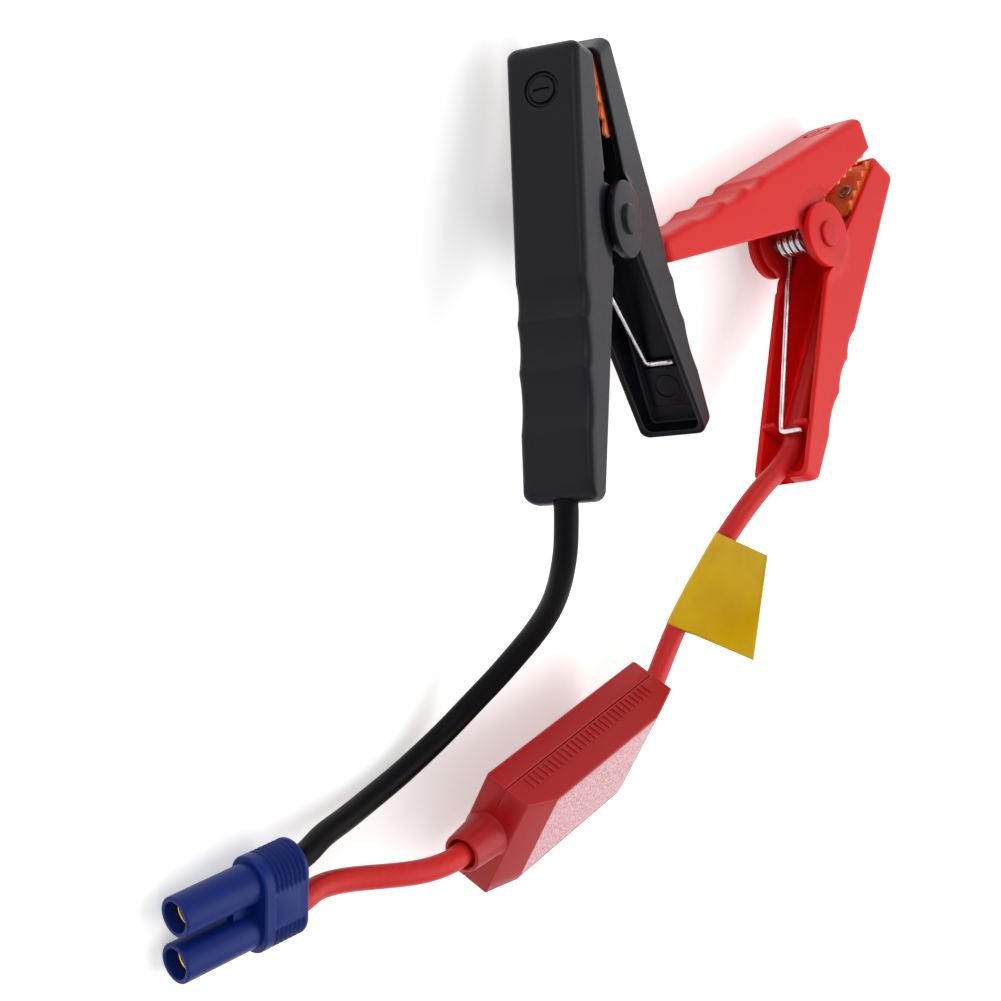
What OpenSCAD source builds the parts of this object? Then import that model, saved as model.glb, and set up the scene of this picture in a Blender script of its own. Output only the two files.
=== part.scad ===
// Clamp lead set of a jump starter pack: a black and a red spring clamp, a
// two pole connector plug, a diode box in the red lead and a cable flag.
// Units are millimetres. The set lies on the floor plane z = 0.

/* [Clamp] */
// Pivot to the end of a handle, along its back
handle_length = 65.5; // [45:0.5:90]
// Pivot to the tip of a jaw, along its back
jaw_length = 36.6; // [28:0.1:50]
// Width of a clamp half over its side walls
clamp_width = 17.4; // [14:0.1:22]
// Pivot axis to the back face of each half
pivot_to_back = 23; // [20:0.1:26]
// Angle between each back and the middle line when closed
rest_angle = 17.8; // [17:0.1:22]
// Side wall thickness
wall = 1.6; // [1.2:0.1:2]
// Thickness of the back
back_wall = 1.8; // [1.4:0.1:2.4]
// Side wall depth at the jaw tip
tip_depth = 9.4; // [8:0.1:10]
// Side wall depth beside the pivot, jaw side
jaw_depth = 13.4; // [11:0.1:14]
// Side wall depth beside the pivot, handle side
handle_depth = 16.6; // [14:0.1:18]
// Side wall depth at the handle end
end_depth = 6.4; // [5:0.1:9]
// Depth of the finger grooves in the back
grip_groove = 1.1; // [0.6:0.1:1.3]

/* [Hinge] */
// Radius of the hinge ears
ear_radius = 8.9; // [7.5:0.1:10]
// Radius of the inner ears, behind the outer ones
inner_ear_radius = 7.2; // [5:0.1:8.5]
// Thickness of the outer ears
ear_plate = 1.9; // [1.4:0.1:3]
// Thickness of the inner ears
inner_ear = 1.5; // [1.2:0.1:2]
// Side gap between an outer and an inner ear
ear_gap = 0.3; // [0.2:0.05:0.6]
// Radius of the blind caps over the pin ends
cap_radius = 3.5; // [2.8:0.1:5]
// Height of the blind caps
cap_height = 0.9; // [0.6:0.1:2]
// Hinge pin diameter
pin_diameter = 4; // [3:0.1:5]
// Running clearance of the lever half on the pin, on the radius
pin_clearance = 0.06; // [0.02:0.01:0.1]

/* [Spring] */
// Spring wire diameter
spring_wire = 1.6; // [1.2:0.05:1.7]
// Mean coil radius
coil_radius = 3.4; // [3.3:0.05:3.9]
// Rise of the coil in one turn
coil_pitch = 2.1; // [2.05:0.01:2.3]
// Length of the cross bars at the leg ends
spring_bar = 7; // [5:0.5:9]
// Place of the lever bar along the handle
lever_bar_at = 46.5; // [40:0.5:48]
// Place of the cable half bar along the handle
cable_bar_at = 52.3; // [44:0.1:53]

/* [Jaw plates] */
// Depth of the jaw plate seat below the channel floor
jaw_seat = 6.2; // [4:0.1:6.4]
// Thickness of the copper jaw plates
jaw_plate = 0.9; // [0.6:0.1:1.2]
// Length of a jaw plate
jaw_plate_length = 19; // [15:0.5:20]
// Height of the teeth over the plastic edge
tooth_height = 1.7; // [1:0.1:1.8]
// Distance between teeth
tooth_pitch = 3.8; // [3:0.1:4.7]
// Rivet head radius
rivet_radius = 2.2; // [1.6:0.1:3]

/* [Cables] */
// Outside diameter of the cables
cable_diameter = 5.5; // [4:0.1:6]
// Width of the cable notch in the handle end
cable_notch = 6.1; // [6.1:0.1:8]

/* [Diode box] */
// Length of the box
box_length = 66.8; // [55:0.1:90]
// Width of the box
box_width = 30.4; // [24:0.1:40]
// Thickness at the box ends
box_end_thickness = 12.2; // [10:0.1:16]
// Thickness at the raised panel
box_panel_thickness = 15.6; // [13:0.1:20]
// Height of the seam over the lower face
box_seam = 5.8; // [5:0.1:6.2]
// Wall thickness of the box
box_wall = 1.8; // [1.2:0.1:2.4]
// Length of the cable boss
boss_length = 10; // [5:0.5:16]
// Boss radius at the box
boss_root_radius = 5.3; // [4.6:0.1:5.6]
// Boss radius at its mouth
boss_mouth_radius = 4.6; // [4:0.1:5.2]
// Number of grip ribs on the side
rib_count = 27; // [5:1:27]
// Height of the grip ribs
rib_height = 0.3; // [0.2:0.05:0.6]

/* [Connector] */
// Diameter of the two connector tubes
tube_diameter = 8.9; // [8:0.1:10]
// Distance between the tube axes
tube_spacing = 11.05; // [10.2:0.05:14]
// Length of the connector
connector_length = 31.1; // [24:0.1:40]
// Length of the grip collar
collar_length = 12; // [9:0.5:18]
// Thickness of the grip collar
collar_thickness = 11.6; // [10.5:0.1:14]
// Bore of a contact socket
contact_bore = 5; // [4:0.1:5.4]
// Outside diameter of a contact
contact_diameter = 6.4; // [6:0.1:6.8]
// Depth of a contact behind the tube mouth
contact_set_back = 3; // [1:0.5:6]

/* [Cable flag] */
// Length of the flag along the cable
flag_length = 28; // [18:1:40]
// Standing height of the flag beside the cable
flag_height = 18.5; // [10:0.5:30]
// Thickness of the two glued leaves together
flag_thickness = 0.4; // [0.2:0.1:1]

/* [Hidden] */
$fn = 48;

// Places of the pieces in the laid out set, and the middle of its outline.
set_centre = [31.653, 392.738];
black_at = [-28.8, 369.6, 19.9];
black_turn = [14.9, 8.3, -165.5];
red_at = [-35.9, 475.9, 14.4];
red_turn = [-14.2, 4.1, 133.0];
box_at = [97.6, 353.4, 19.8];
box_turn = [119.5, 4.1, 108.6];
plug_at = [113.4, 303.0, 9.1];
plug_turn = [-8.2, 5.6, -75.3];

// Clamp half, derived.
half_width = clamp_width / 2;
inner_width = half_width - wall;
outer_ear_from = half_width - 0.25;
outer_ear_to = outer_ear_from + ear_plate;
inner_ear_to = outer_ear_from - ear_gap;
inner_ear_from = inner_ear_to - inner_ear;
recess_radius = 13;
pad_radius = recess_radius + wall;
tip_wall = 1.2;
tip_round = 3;
end_round = 4.5;
channel_corner = 3;
back_round = 2;
// The handle edge runs straight on past its depth mark until it meets the ear.
edge_meets_ear = 8.2;
edge_slope = (handle_depth - end_depth) / (handle_length - 14);
floor_y = pivot_to_back - back_wall;
pin_radius = pin_diameter / 2;
pin_end_play = 0.2;
pin_reach = outer_ear_to + 0.2;

// Finger grooves between the crests at these places along the handle.
crests = [16.5, 25.5, 36.5, 50];

// Jaw plates, derived.
jaw_wall_play = 0.3;
flange_z = inner_width - jaw_wall_play;
jaw_front = -jaw_length + tip_wall + 0.2;
jaw_rear = jaw_front + jaw_plate_length;
web_length = 13;
tooth_count = floor(jaw_plate_length / tooth_pitch);
rivet_s = jaw_front + 8.7;
shank_radius = 1.2;
post_radius = 3.2;
seat_y = floor_y - jaw_seat;
jaw_tongue = 4.2;
jaw_tongue_half = 3;

// Cables in the clamps.
cable_radius = cable_diameter / 2;
cable_play = 0.05;
cable_y = floor_y - cable_radius - cable_play;
notch_from = handle_length - wall - channel_corner - 0.2;
cable_inner_end = jaw_rear + 0.6;
lug_radius = 2.4;
lug_length = 6;
tongue_length = cable_inner_end - lug_length - rivet_s - post_radius - 0.3;
red_hold_end = 54;

// Spring, derived. The coil's middle stands at z = coil_shift.
wire_radius = spring_wire / 2;
coil_shift = -0.5;
least_turn = 1300;
bar_play = 0.3;
lever_bar_y = floor_y - wire_radius - bar_play;
cable_bar_y = floor_y - cable_diameter - cable_play - wire_radius - bar_play;
bar_half = spring_bar / 2;
// The cable half bar is moved along z, so that its leg ends below the cable.
cable_bar_shift = 1.9;
rib_thickness = 1.2;

// Lean of the flag about its cable.
flag_lean = 14;

// Box and plug, derived.
axis_y = 6.1;
axis_z = box_width / 2;
panel_near = 8;
panel_far = 54;
bore_radius = contact_bore / 2;
contact_radius = contact_diameter / 2;
tube_radius = tube_diameter / 2;

// Routes of the free cables: hand set points in the laid out set.
black_route = [
  [39, 348.8, 38], [42.4, 349.8, 37.6], [46.6, 351.6, 36.3], [52, 354.6, 33.6], [57.2, 357.7, 30],
  [62.4, 360.2, 25.7], [67.6, 361.7, 21.2], [72.3, 361.9, 17.4], [77, 361.2, 14], [82.3, 359.1, 10.6],
  [87.1, 356.2, 8.1], [91.9, 352, 6.2], [96.1, 346.9, 5], [99.8, 341, 4.5], [102.9, 334.4, 4.6],
  [105.5, 327.3, 5.4], [107.8, 320.1, 6.4], [109.9, 313.1, 7.5]
];
short_route = [
  [121.3, 312.8, 7.6], [120.4, 316.6, 8.3], [119.9, 321.4, 9.8], [119.7, 326, 11.6],
  [119.5, 330.6, 13.6], [119.2, 335.2, 15.5], [118.8, 338.8, 16.7]
];
long_route = [
  [89.4, 426.6, 12.4], [86.1, 430.5, 11.9], [82.1, 433.8, 11.5], [76.4, 437.2, 11.3],
  [71.3, 439.4, 11.7], [65.5, 441.3, 12.9], [59.1, 442.8, 14.9], [52.6, 444.1, 17.3],
  [46.4, 445.3, 19.7], [41, 446.8, 21.9], [36.9, 448.5, 23.5], [33.4, 450.4, 24.8],
  [29.9, 453.2, 25.9]
];

// ---- small helpers -------------------------------------------------------

// A vector turned about x, then y, then z.
function spun_x(v, a) = [v[0], v[1] * cos(a) - v[2] * sin(a), v[1] * sin(a) + v[2] * cos(a)];
function spun_y(v, a) = [v[0] * cos(a) + v[2] * sin(a), v[1], v[2] * cos(a) - v[0] * sin(a)];
function spun_z(v, a) = [v[0] * cos(a) - v[1] * sin(a), v[0] * sin(a) + v[1] * cos(a), v[2]];
function spun(v, a) = spun_z(spun_y(spun_x(v, a[0]), a[1]), a[2]);

// A point of the near (flip = 0) or far (flip = 1) clamp half, in the clamp.
function in_half(v, flip) = spun_x(spun_z(v, 180 + rest_angle), 180 * flip);

// The same point in the laid out set.
function in_set(v, flip, at, turn) = at + spun(in_half(v, flip), turn);

// The depth of the side wall edge under the back at station s of a jaw.
function jaw_edge(s) =
  pivot_to_back - tip_depth - (jaw_depth - tip_depth) * (s + jaw_length) / (jaw_length - 12);

// One rounded corner of an outline: points on an arc between two edges.
function corner(a, b, c, r) =
  let (u = (a - b) / norm(a - b))
  let (v = (c - b) / norm(c - b))
  let (half = acos(u * v) / 2)
  let (middle = b + (u + v) / norm(u + v) * r / sin(half))
  let (p = b + u * r / tan(half) - middle)
  let (q = b + v * r / tan(half) - middle)
  [for (i = [0:5]) middle + r * (p * (5 - i) + q * i) / norm(p * (5 - i) + q * i)];

// An outline with every corner given as [x, y, radius].
function rounded(list) =
  let (n = len(list))
  [
    for (i = [0:n - 1])
      let (a = list[(i + n - 1) % n])
      let (b = list[i])
      let (c = list[(i + 1) % n])
      if (b[2] > 0) each corner([a[0], a[1]], [b[0], b[1]], [c[0], c[1]], b[2]) else [b[0], b[1]]
  ];

// A tube of round rings along a list of points.
module swept(points, radius, sides) {
  n = len(points);
  rings = [
    for (i = [0:n - 1])
      let (before = points[max(i - 1, 0)])
      let (after = points[min(i + 1, n - 1)])
      let (t = (after - before) / norm(after - before))
      let (across = cross([0, 0, 1], t) / norm(cross([0, 0, 1], t)))
      let (up = cross(t, across))
      for (k = [0:sides - 1])
        points[i] + radius * (cos(360 * k / sides) * across + sin(360 * k / sides) * up)
  ];
  walls = [
    for (i = [0:n - 2])
      for (k = [0:sides - 1])
        let (m = (k + 1) % sides)
        for (f = [[i * sides + k, (i + 1) * sides + k, i * sides + m],
                  [i * sides + m, (i + 1) * sides + k, (i + 1) * sides + m]]) f
  ];
  caps = [
    [for (k = [0:sides - 1]) k],
    [for (k = [0:sides - 1]) n * sides - 1 - k]
  ];
  polyhedron(points = rings, faces = concat(walls, caps), convexity = 6);
}

module in_set_frame() {
  translate([-set_centre[0], -set_centre[1], 0])
    children();
}

module at_black() {
  in_set_frame()
    translate(black_at)
      rotate(black_turn)
        children();
}

module at_red() {
  in_set_frame()
    translate(red_at)
      rotate(red_turn)
        children();
}

// The near half of a clamp, and the far half which is the same moulding.
module near_half() {
  rotate([0, 0, 180 + rest_angle])
    children();
}

module far_half() {
  rotate([180, 0, 0])
    near_half()
      children();
}

// ---- clamp half ----------------------------------------------------------
// x runs from the pivot to the handle end, y out of the back, z to the near
// side. The outer ear is on the near side, the inner ear on the other.

module side_outline() {
  polygon(rounded([
    [-jaw_length, pivot_to_back, tip_round],
    [-jaw_length, pivot_to_back - tip_depth, 0.5],
    [-12, pivot_to_back - jaw_depth, 0],
    [edge_meets_ear, pivot_to_back - handle_depth - edge_slope * (14 - edge_meets_ear), 0],
    [handle_length, pivot_to_back - end_depth, 1],
    [handle_length, pivot_to_back, end_round]
  ]));
}

module side_block(from, to) {
  translate([0, 0, from])
    linear_extrude(to - from)
      side_outline();
}

module half_shell() {
  intersection() {
    side_block(-half_width, half_width);
    translate([-jaw_length - 1, 0, 0])
      rotate([90, 0, 90])
        linear_extrude(handle_length + jaw_length + 2)
          polygon(rounded([
            [-20, -half_width, 0],
            [pivot_to_back, -half_width, back_round],
            [pivot_to_back, half_width, back_round],
            [-20, half_width, 0]
          ]));
  }
}

module channel() {
  translate([0, 0, -inner_width])
    linear_extrude(2 * inner_width)
      polygon(rounded([
        [tip_wall - jaw_length, -20, 0],
        [tip_wall - jaw_length, floor_y, 0],
        [handle_length - wall, floor_y, channel_corner],
        [handle_length - wall, -20, 0]
      ]));
}

module finger_groove(from, to) {
  chord = to - from;
  radius = chord * chord / (8 * grip_groove) + grip_groove / 2;
  translate([(from + to) / 2, pivot_to_back + radius - grip_groove, -half_width - 1])
    cylinder(r = radius, h = clamp_width + 2, $fn = 96);
}

module inner_ear_plate() {
  translate([0, 0, -inner_ear_to])
    linear_extrude(inner_ear) {
      circle(r = inner_ear_radius);
      translate([-inner_ear_radius, 0])
        square([2 * inner_ear_radius, 9]);
    }
}

// The outer ear is a disc. A wedge under it ramps down to the side wall.
module outer_ear_plate() {
  translate([0, 0, outer_ear_from])
    cylinder(r = ear_radius, h = ear_plate);
  intersection() {
    translate([0, 0, outer_ear_from])
      linear_extrude(ear_plate)
        polygon([[-ear_radius, 0], [ear_radius, 0], [ear_radius - 2.5, 14], [2.5 - ear_radius, 14]]);
    translate([-ear_radius, 0, 0])
      rotate([90, 0, 90])
        linear_extrude(2 * ear_radius)
          polygon([
            [-1, outer_ear_from], [14, outer_ear_from], [14, half_width + 0.1],
            [8, outer_ear_to - 0.5], [-1, outer_ear_to - 0.5]
          ]);
  }
}

module clamp_half(bore) {
  difference() {
    union() {
      difference() {
        half_shell();
        channel();
        for (i = [0:2])
          finger_groove(crests[i], crests[i + 1]);
        translate([0, 0, -half_width - 1])
          cylinder(r = recess_radius, h = half_width + 1 - inner_ear_to);
        translate([0, 0, inner_ear_from - 1])
          cylinder(r = ear_radius + 0.5, h = outer_ear_from - inner_ear_from + 1);
      }
      intersection() {
        side_block(-inner_ear_to, -inner_ear_from);
        translate([0, 0, -inner_ear_to])
          cylinder(r = pad_radius, h = inner_ear);
      }
      inner_ear_plate();
      outer_ear_plate();
      translate([0, 0, outer_ear_to - 0.5])
        cylinder(r = cap_radius, h = cap_height + 0.5);
      translate([rivet_s, seat_y, 0])
        rotate([-90, 0, 0])
          cylinder(r = post_radius, h = jaw_seat + 0.5);
    }
    translate([0, 0, -half_width - 1])
      cylinder(r = bore, h = half_width + 1 + pin_reach + pin_end_play);
    translate([rivet_s, seat_y - 1, 0])
      rotate([-90, 0, 0])
        cylinder(r = shank_radius, h = jaw_seat + 2);
  }
}

// The half that carries the cable: a notch in the end wall and two short ribs
// that keep the spring bar in place.
module cable_half() {
  difference() {
    clamp_half(pin_radius);
    translate([notch_from, cable_y, 0])
      rotate([0, 90, 0])
        cylinder(r = cable_notch / 2, h = handle_length - notch_from + 2);
    translate([notch_from, cable_y - 20, -cable_notch / 2])
      cube([handle_length - notch_from + 2, 20, cable_notch]);
  }
  for (side = [0, 1])
    mirror([0, 0, side])
      translate([cable_bar_at - wire_radius - 0.3 - rib_thickness, floor_y - 8.5, cable_radius + 0.5])
        cube([rib_thickness, 8.6, inner_width - cable_radius - 0.4]);
}

// The free half: a raised pad with a round mark inside its handle.
module lever_half() {
  clamp_half(pin_radius + pin_clearance);
  translate([lever_bar_at + wire_radius + 0.6, floor_y - 0.8, -5])
    cube([11, 0.9, 10]);
  translate([lever_bar_at + wire_radius + 6, floor_y - 0.7, 0])
    rotate([90, 0, 0])
      cylinder(r = 3.2, h = 0.4);
}

module hinge_pin() {
  translate([0, 0, -pin_reach])
    cylinder(r = pin_radius, h = 2 * pin_reach);
}

// ---- jaw plate, rivet, lug, lead ----------------------------------------

module jaw_flange() {
  // Teeth stand over the side wall edge; the upper edge meets the web.
  teeth = [
    for (i = [0:tooth_count - 1])
      let (s = jaw_front + tooth_pitch * i)
      let (e = jaw_edge(s + tooth_pitch / 2))
      each [
        [s + 0.25 * tooth_pitch, e - 0.1],
        [s + 0.40 * tooth_pitch, e - tooth_height],
        [s + 0.60 * tooth_pitch, e - tooth_height],
        [s + 0.75 * tooth_pitch, e - 0.1]
      ]
  ];
  linear_extrude(jaw_plate)
    polygon(concat(
      [[jaw_front, seat_y - 1.2], [jaw_front, jaw_edge(jaw_front)]],
      teeth,
      [[jaw_rear, jaw_edge(jaw_rear)], [jaw_rear, seat_y - 1.2]]
    ));
}

module jaw_plates() {
  difference() {
    union() {
      translate([0, 0, flange_z - jaw_plate])
        jaw_flange();
      translate([0, 0, -flange_z])
        jaw_flange();
      for (side = [0, 1])
        mirror([0, 0, side])
          translate([jaw_front, 0, 0])
            rotate([90, 0, 90])
              linear_extrude(web_length)
                polygon([
                  [seat_y - 0.05, -0.1],
                  [seat_y - 0.05, flange_z - 1],
                  [seat_y - 1, flange_z],
                  [seat_y - 1.5, flange_z],
                  [seat_y - 1.5, flange_z - jaw_plate],
                  [seat_y - 0.05 - jaw_plate, flange_z - jaw_plate - 0.6],
                  [seat_y - 0.05 - jaw_plate, -0.1]
                ]);
      for (side = [0, 1])
        mirror([0, 0, side])
          translate([jaw_front + web_length - 0.5, seat_y - 1.7, flange_z - jaw_plate])
            cube([jaw_plate_length - web_length + 0.5, 0.6, jaw_plate]);
      translate([jaw_front + web_length - 1, seat_y - 0.05, 0])
        rotate([90, 0, 0])
          linear_extrude(jaw_plate)
            polygon([
              [0, -jaw_tongue_half], [jaw_tongue - 0.5, -jaw_tongue_half], [jaw_tongue + 1, 1.5 - jaw_tongue_half],
              [jaw_tongue + 1, jaw_tongue_half - 1.5], [jaw_tongue - 0.5, jaw_tongue_half], [0, jaw_tongue_half]
            ]);
    }
    translate([rivet_s, seat_y - 3, 0])
      rotate([-90, 0, 0])
        cylinder(r = shank_radius, h = 4);
  }
}

module rivet() {
  translate([rivet_s, floor_y + 0.95, 0])
    rotate([90, 0, 0])
      cylinder(r = shank_radius, h = jaw_seat + 1.1 + jaw_plate);
  translate([rivet_s, seat_y - 0.05 - jaw_plate, 0])
    rotate([90, 0, 0])
      cylinder(r1 = rivet_radius, r2 = rivet_radius - 0.5, h = 0.8);
}

module lug() {
  translate([cable_inner_end - lug_length, cable_y, 0])
    rotate([0, 90, 0])
      cylinder(r = lug_radius, h = lug_length);
  translate([cable_inner_end - lug_length - tongue_length, seat_y, -2])
    cube([tongue_length + 1, cable_y - lug_radius + 1 - seat_y, 4]);
}

module lead(to) {
  translate([cable_inner_end, cable_y, 0])
    rotate([0, 90, 0])
      cylinder(r = cable_radius, h = to - cable_inner_end);
}

// ---- spring --------------------------------------------------------------
// The bar points are given in the clamp frame: where each leg ends, on the
// near half and on the far half.

function leg_end(s, y, flip) = let (p = in_half([s, y, 0], flip)) [p[0], p[1]];
function heading(p) = atan2(p[1], p[0]);

// Each leg leaves the coil on its own half's side of the pin. near_bar and
// far_bar give the heights of a bar's leg end and free end.
function spring_points(near_end, far_end, near_bar, far_bar) =
  let (d1 = norm(near_end))
  let (d2 = norm(far_end))
  let (from = heading(near_end) + acos(coil_radius / d1))
  let (to_raw = heading(far_end) - acos(coil_radius / d2))
  let (to = to_raw + 360 * ceil((from + least_turn - to_raw) / 360))
  let (steps = 8 * round((to - from) / 360) + 3)
  let (rise = coil_pitch * (to - from) / 360)
  let (low = coil_shift - rise / 2)
  let (start = coil_radius * [cos(from), sin(from)])
  let (stop = coil_radius * [cos(to), sin(to)])
  concat(
    [[near_end[0], near_end[1], near_bar[1]]],
    [[near_end[0], near_end[1], near_bar[0]]],
    [
      for (i = [1:3])
        let (p = near_end + (start - near_end) * i / 4)
        [p[0], p[1], near_bar[0] + (low - near_bar[0]) * i / 4]
    ],
    [
      for (i = [0:steps])
        let (a = from + (to - from) * i / steps)
        [coil_radius * cos(a), coil_radius * sin(a), low + rise * i / steps]
    ],
    [
      for (i = [1:3])
        let (p = stop + (far_end - stop) * i / 4)
        [p[0], p[1], low + rise + (far_bar[0] - low - rise) * i / 4]
    ],
    [[far_end[0], far_end[1], far_bar[0]]],
    [[far_end[0], far_end[1], far_bar[1]]]
  );
lever_bar = [-bar_half, bar_half];
cable_bar = [cable_bar_shift - bar_half, cable_bar_shift + bar_half];

// Rings of six points. Each ring stands across the mean of its two runs and
// is carried on from the ring before without twist.
function unit(v) = v / norm(v);
function run_dir(p, i) =
  let (n = len(p))
  let (a = i > 0 ? unit(p[i] - p[i - 1]) : [0, 0, 0])
  let (b = i < n - 1 ? unit(p[i + 1] - p[i]) : [0, 0, 0])
  unit(a + b);
function carried(p, i, side) =
  let (t = run_dir(p, i))
  let (s = unit(side - (side * t) * t))
  i == len(p) - 1 ? [s] : concat([s], carried(p, i + 1, s));

module spring(near_end, far_end, near_bar, far_bar) {
  p = spring_points(near_end, far_end, near_bar, far_bar);
  n = len(p);
  sides = carried(p, 0, [1, 0.2, 0]);
  rings = [
    for (i = [0:n - 1])
      let (t = run_dir(p, i))
      let (b = i > 0 && i < n - 1 ? sqrt(2 / (1 + unit(p[i + 1] - p[i]) * unit(p[i] - p[i - 1]))) : 1)
      let (u = sides[i])
      let (v = cross(t, u))
      for (k = [0:5])
        p[i] + wire_radius * min(b, 1.3) * (cos(60 * k) * u + sin(60 * k) * v)
  ];
  walls = [
    for (i = [0:n - 2])
      for (k = [0:5])
        let (m = (k + 1) % 6)
        for (f = [[i * 6 + k, (i + 1) * 6 + k, i * 6 + m],
                  [i * 6 + m, (i + 1) * 6 + k, (i + 1) * 6 + m]]) f
  ];
  caps = [
    [0, 1, 2], [0, 2, 3], [0, 3, 4], [0, 4, 5],
    [6 * n - 1, 6 * n - 2, 6 * n - 3], [6 * n - 1, 6 * n - 3, 6 * n - 4],
    [6 * n - 1, 6 * n - 4, 6 * n - 5], [6 * n - 1, 6 * n - 5, 6 * n - 6]
  ];
  polyhedron(points = rings, faces = concat(walls, caps), convexity = 12);
}

// Least distance between coil points a turn apart, less the wire.
spring_check = spring_points(
  leg_end(lever_bar_at, lever_bar_y, 0), leg_end(cable_bar_at, cable_bar_y, 1), lever_bar, -cable_bar);
spring_gap = min([
  for (i = [5:len(spring_check) - 6])
    for (j = [i + 5:len(spring_check) - 6])
      norm(spring_check[i] - spring_check[j])
]) - spring_wire;
echo(spring_gap = spring_gap);

// ---- diode box -----------------------------------------------------------
// x runs along the box, y through its thickness, z across it.

module box_outline(inset) {
  polygon([
    [inset, inset],
    [box_length - inset, inset],
    [box_length - inset, box_end_thickness - inset],
    [box_length - 9, box_panel_thickness - 0.9 - inset],
    [panel_far, box_panel_thickness - inset],
    [panel_near, box_panel_thickness - inset],
    [inset, box_end_thickness - inset]
  ]);
}

module box_solid() {
  difference() {
    union() {
      difference() {
        linear_extrude(box_width)
          box_outline(0);
        translate([-1, box_panel_thickness, box_width])
          rotate([0, 90, 0])
            linear_extrude(box_length + 2)
              polygon([[2.8, 0], [2.8, 1], [-1, 1], [-1, -2.8], [0, -2.8]]);
      }
      translate([-boss_length, axis_y, axis_z])
        rotate([0, 90, 0])
          cylinder(r1 = boss_mouth_radius, r2 = boss_root_radius, h = boss_length + 0.5);
      for (i = [0:rib_count - 1])
        translate([6 + 2.08 * i, 6.5, -rib_height])
          cube([0.8, 3.4, rib_height + 0.5]);
    }
    translate([0, 0, box_wall])
      linear_extrude(box_width - 2 * box_wall)
        box_outline(box_wall);
    translate([-boss_length - 1, axis_y, axis_z])
      rotate([0, 90, 0])
        cylinder(r = cable_radius, h = box_length + boss_length + 2);
    translate([-boss_length - 1, axis_y, axis_z])
      rotate([0, 90, 0])
        cylinder(r = boss_mouth_radius - 1.2, h = 4);
  }
}

module box_lower_shell() {
  intersection() {
    box_solid();
    translate([-20, -1, -5])
      cube([110, 1 + box_seam, 60]);
  }
}

module box_upper_shell() {
  intersection() {
    box_solid();
    translate([-20, box_seam, -5])
      cube([110, 30, 60]);
  }
}

module box_board() {
  translate([9, box_wall, 3.5])
    cube([box_length - 18, 1.6, box_width - 7]);
}

module box_diodes() {
  for (i = [0:2]) {
    translate([box_length * (0.27 + 0.18 * i), box_wall + 1.6, box_width * 0.2])
      cube([box_length * 0.12, (box_end_thickness - 2 * box_wall) * 0.53, box_width * 0.49]);
    translate([box_length * (0.27 + 0.18 * i), box_wall + 1.6, box_width * 0.69])
      cube([box_length * 0.12, 1.2, box_width * 0.13]);
  }
}

module box_lead(from, to) {
  translate([from, axis_y, axis_z])
    rotate([0, 90, 0])
      cylinder(r = cable_radius, h = to - from);
}

// ---- connector plug ------------------------------------------------------
// x runs from the rear face to the mouths, y from the black to the red pole.

module stadium(height, length) {
  rotate([90, 0, 90])
    linear_extrude(length) {
      circle(d = height);
      translate([tube_spacing, 0])
        circle(d = height);
      translate([0, -height / 2])
        square([tube_spacing, height]);
    }
}

module plug_housing() {
  difference() {
    union() {
      stadium(collar_thickness, collar_length);
      for (y = [0, tube_spacing])
        translate([0, y, 0])
          rotate([0, 90, 0]) {
            cylinder(r = tube_radius, h = connector_length - 0.6);
            translate([0, 0, connector_length - 0.6])
              cylinder(r1 = tube_radius, r2 = tube_radius - 0.4, h = 0.6);
          }
      translate([collar_length - 0.1, 0, -1.2])
        cube([5, tube_spacing, 2.4]);
    }
    for (i = [0:5])
      for (side = [-1, 1])
        translate([1.4 + 1.5 * i, tube_spacing / 2 - 11, side * collar_thickness / 2 - 0.35])
          cube([0.6, i == 0 ? 22 : 6, 0.7]);
    for (i = [1:5])
      for (side = [-1, 1])
        translate([1.4 + 1.5 * i, tube_spacing / 2 + 5, side * collar_thickness / 2 - 0.35])
          cube([0.6, 6, 0.7]);
    for (y = [0, tube_spacing])
      translate([0, y, 0])
        rotate([0, 90, 0]) {
          translate([0, 0, -1])
            cylinder(r = cable_radius, h = 6);
          translate([0, 0, 4])
            cylinder(r = contact_radius, h = connector_length);
        }
  }
}

module contact() {
  difference() {
    rotate([0, 90, 0]) {
      cylinder(r = cable_radius, h = 4.5);
      translate([0, 0, 4])
        cylinder(r = contact_radius, h = connector_length - contact_set_back - 4);
    }
    translate([connector_length - contact_set_back - 16, 0, 0])
      rotate([0, 90, 0])
        cylinder(r = bore_radius, h = 20);
  }
}

module at_box() {
  in_set_frame()
    translate(box_at)
      rotate(box_turn)
        children();
}

module at_plug() {
  in_set_frame()
    translate(plug_at)
      rotate(plug_turn)
        children();
}

// ---- free cables ---------------------------------------------------------

// Each cable starts and ends with a short straight run along its holder's axis.
black_exit = in_set([handle_length, cable_y, 0], 1, black_at, black_turn);
black_stub = in_set([handle_length + 0.8, cable_y, 0], 1, black_at, black_turn);
red_exit = in_set([red_hold_end, cable_y, 0], 0, red_at, red_turn);
red_stub = in_set([red_hold_end + 0.8, cable_y, 0], 0, red_at, red_turn);
red_lift = in_set([59.5, cable_y - 1.3, 0], 0, red_at, red_turn);
red_over = in_set([handle_length - 1, cable_y - 3.6, 0], 0, red_at, red_turn);
plug_rear_black = plug_at;
plug_rear_red = plug_at + spun([0, tube_spacing, 0], plug_turn);
plug_stub = spun([-0.8, 0, 0], plug_turn);
boss_mouth = box_at + spun([-boss_length, axis_y, axis_z], box_turn);
box_far = box_at + spun([box_length, axis_y, axis_z], box_turn);
box_stub = spun([0.8, 0, 0], box_turn);

module black_cable_route() {
  in_set_frame()
    swept(
      concat([black_exit, black_stub], black_route, [plug_rear_black + plug_stub, plug_rear_black]),
      cable_radius, 10
    );
}

module red_cable_short_route() {
  in_set_frame()
    swept(
      concat([plug_rear_red, plug_rear_red + plug_stub], short_route, [boss_mouth - box_stub, boss_mouth]),
      cable_radius, 10
    );
}

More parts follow.
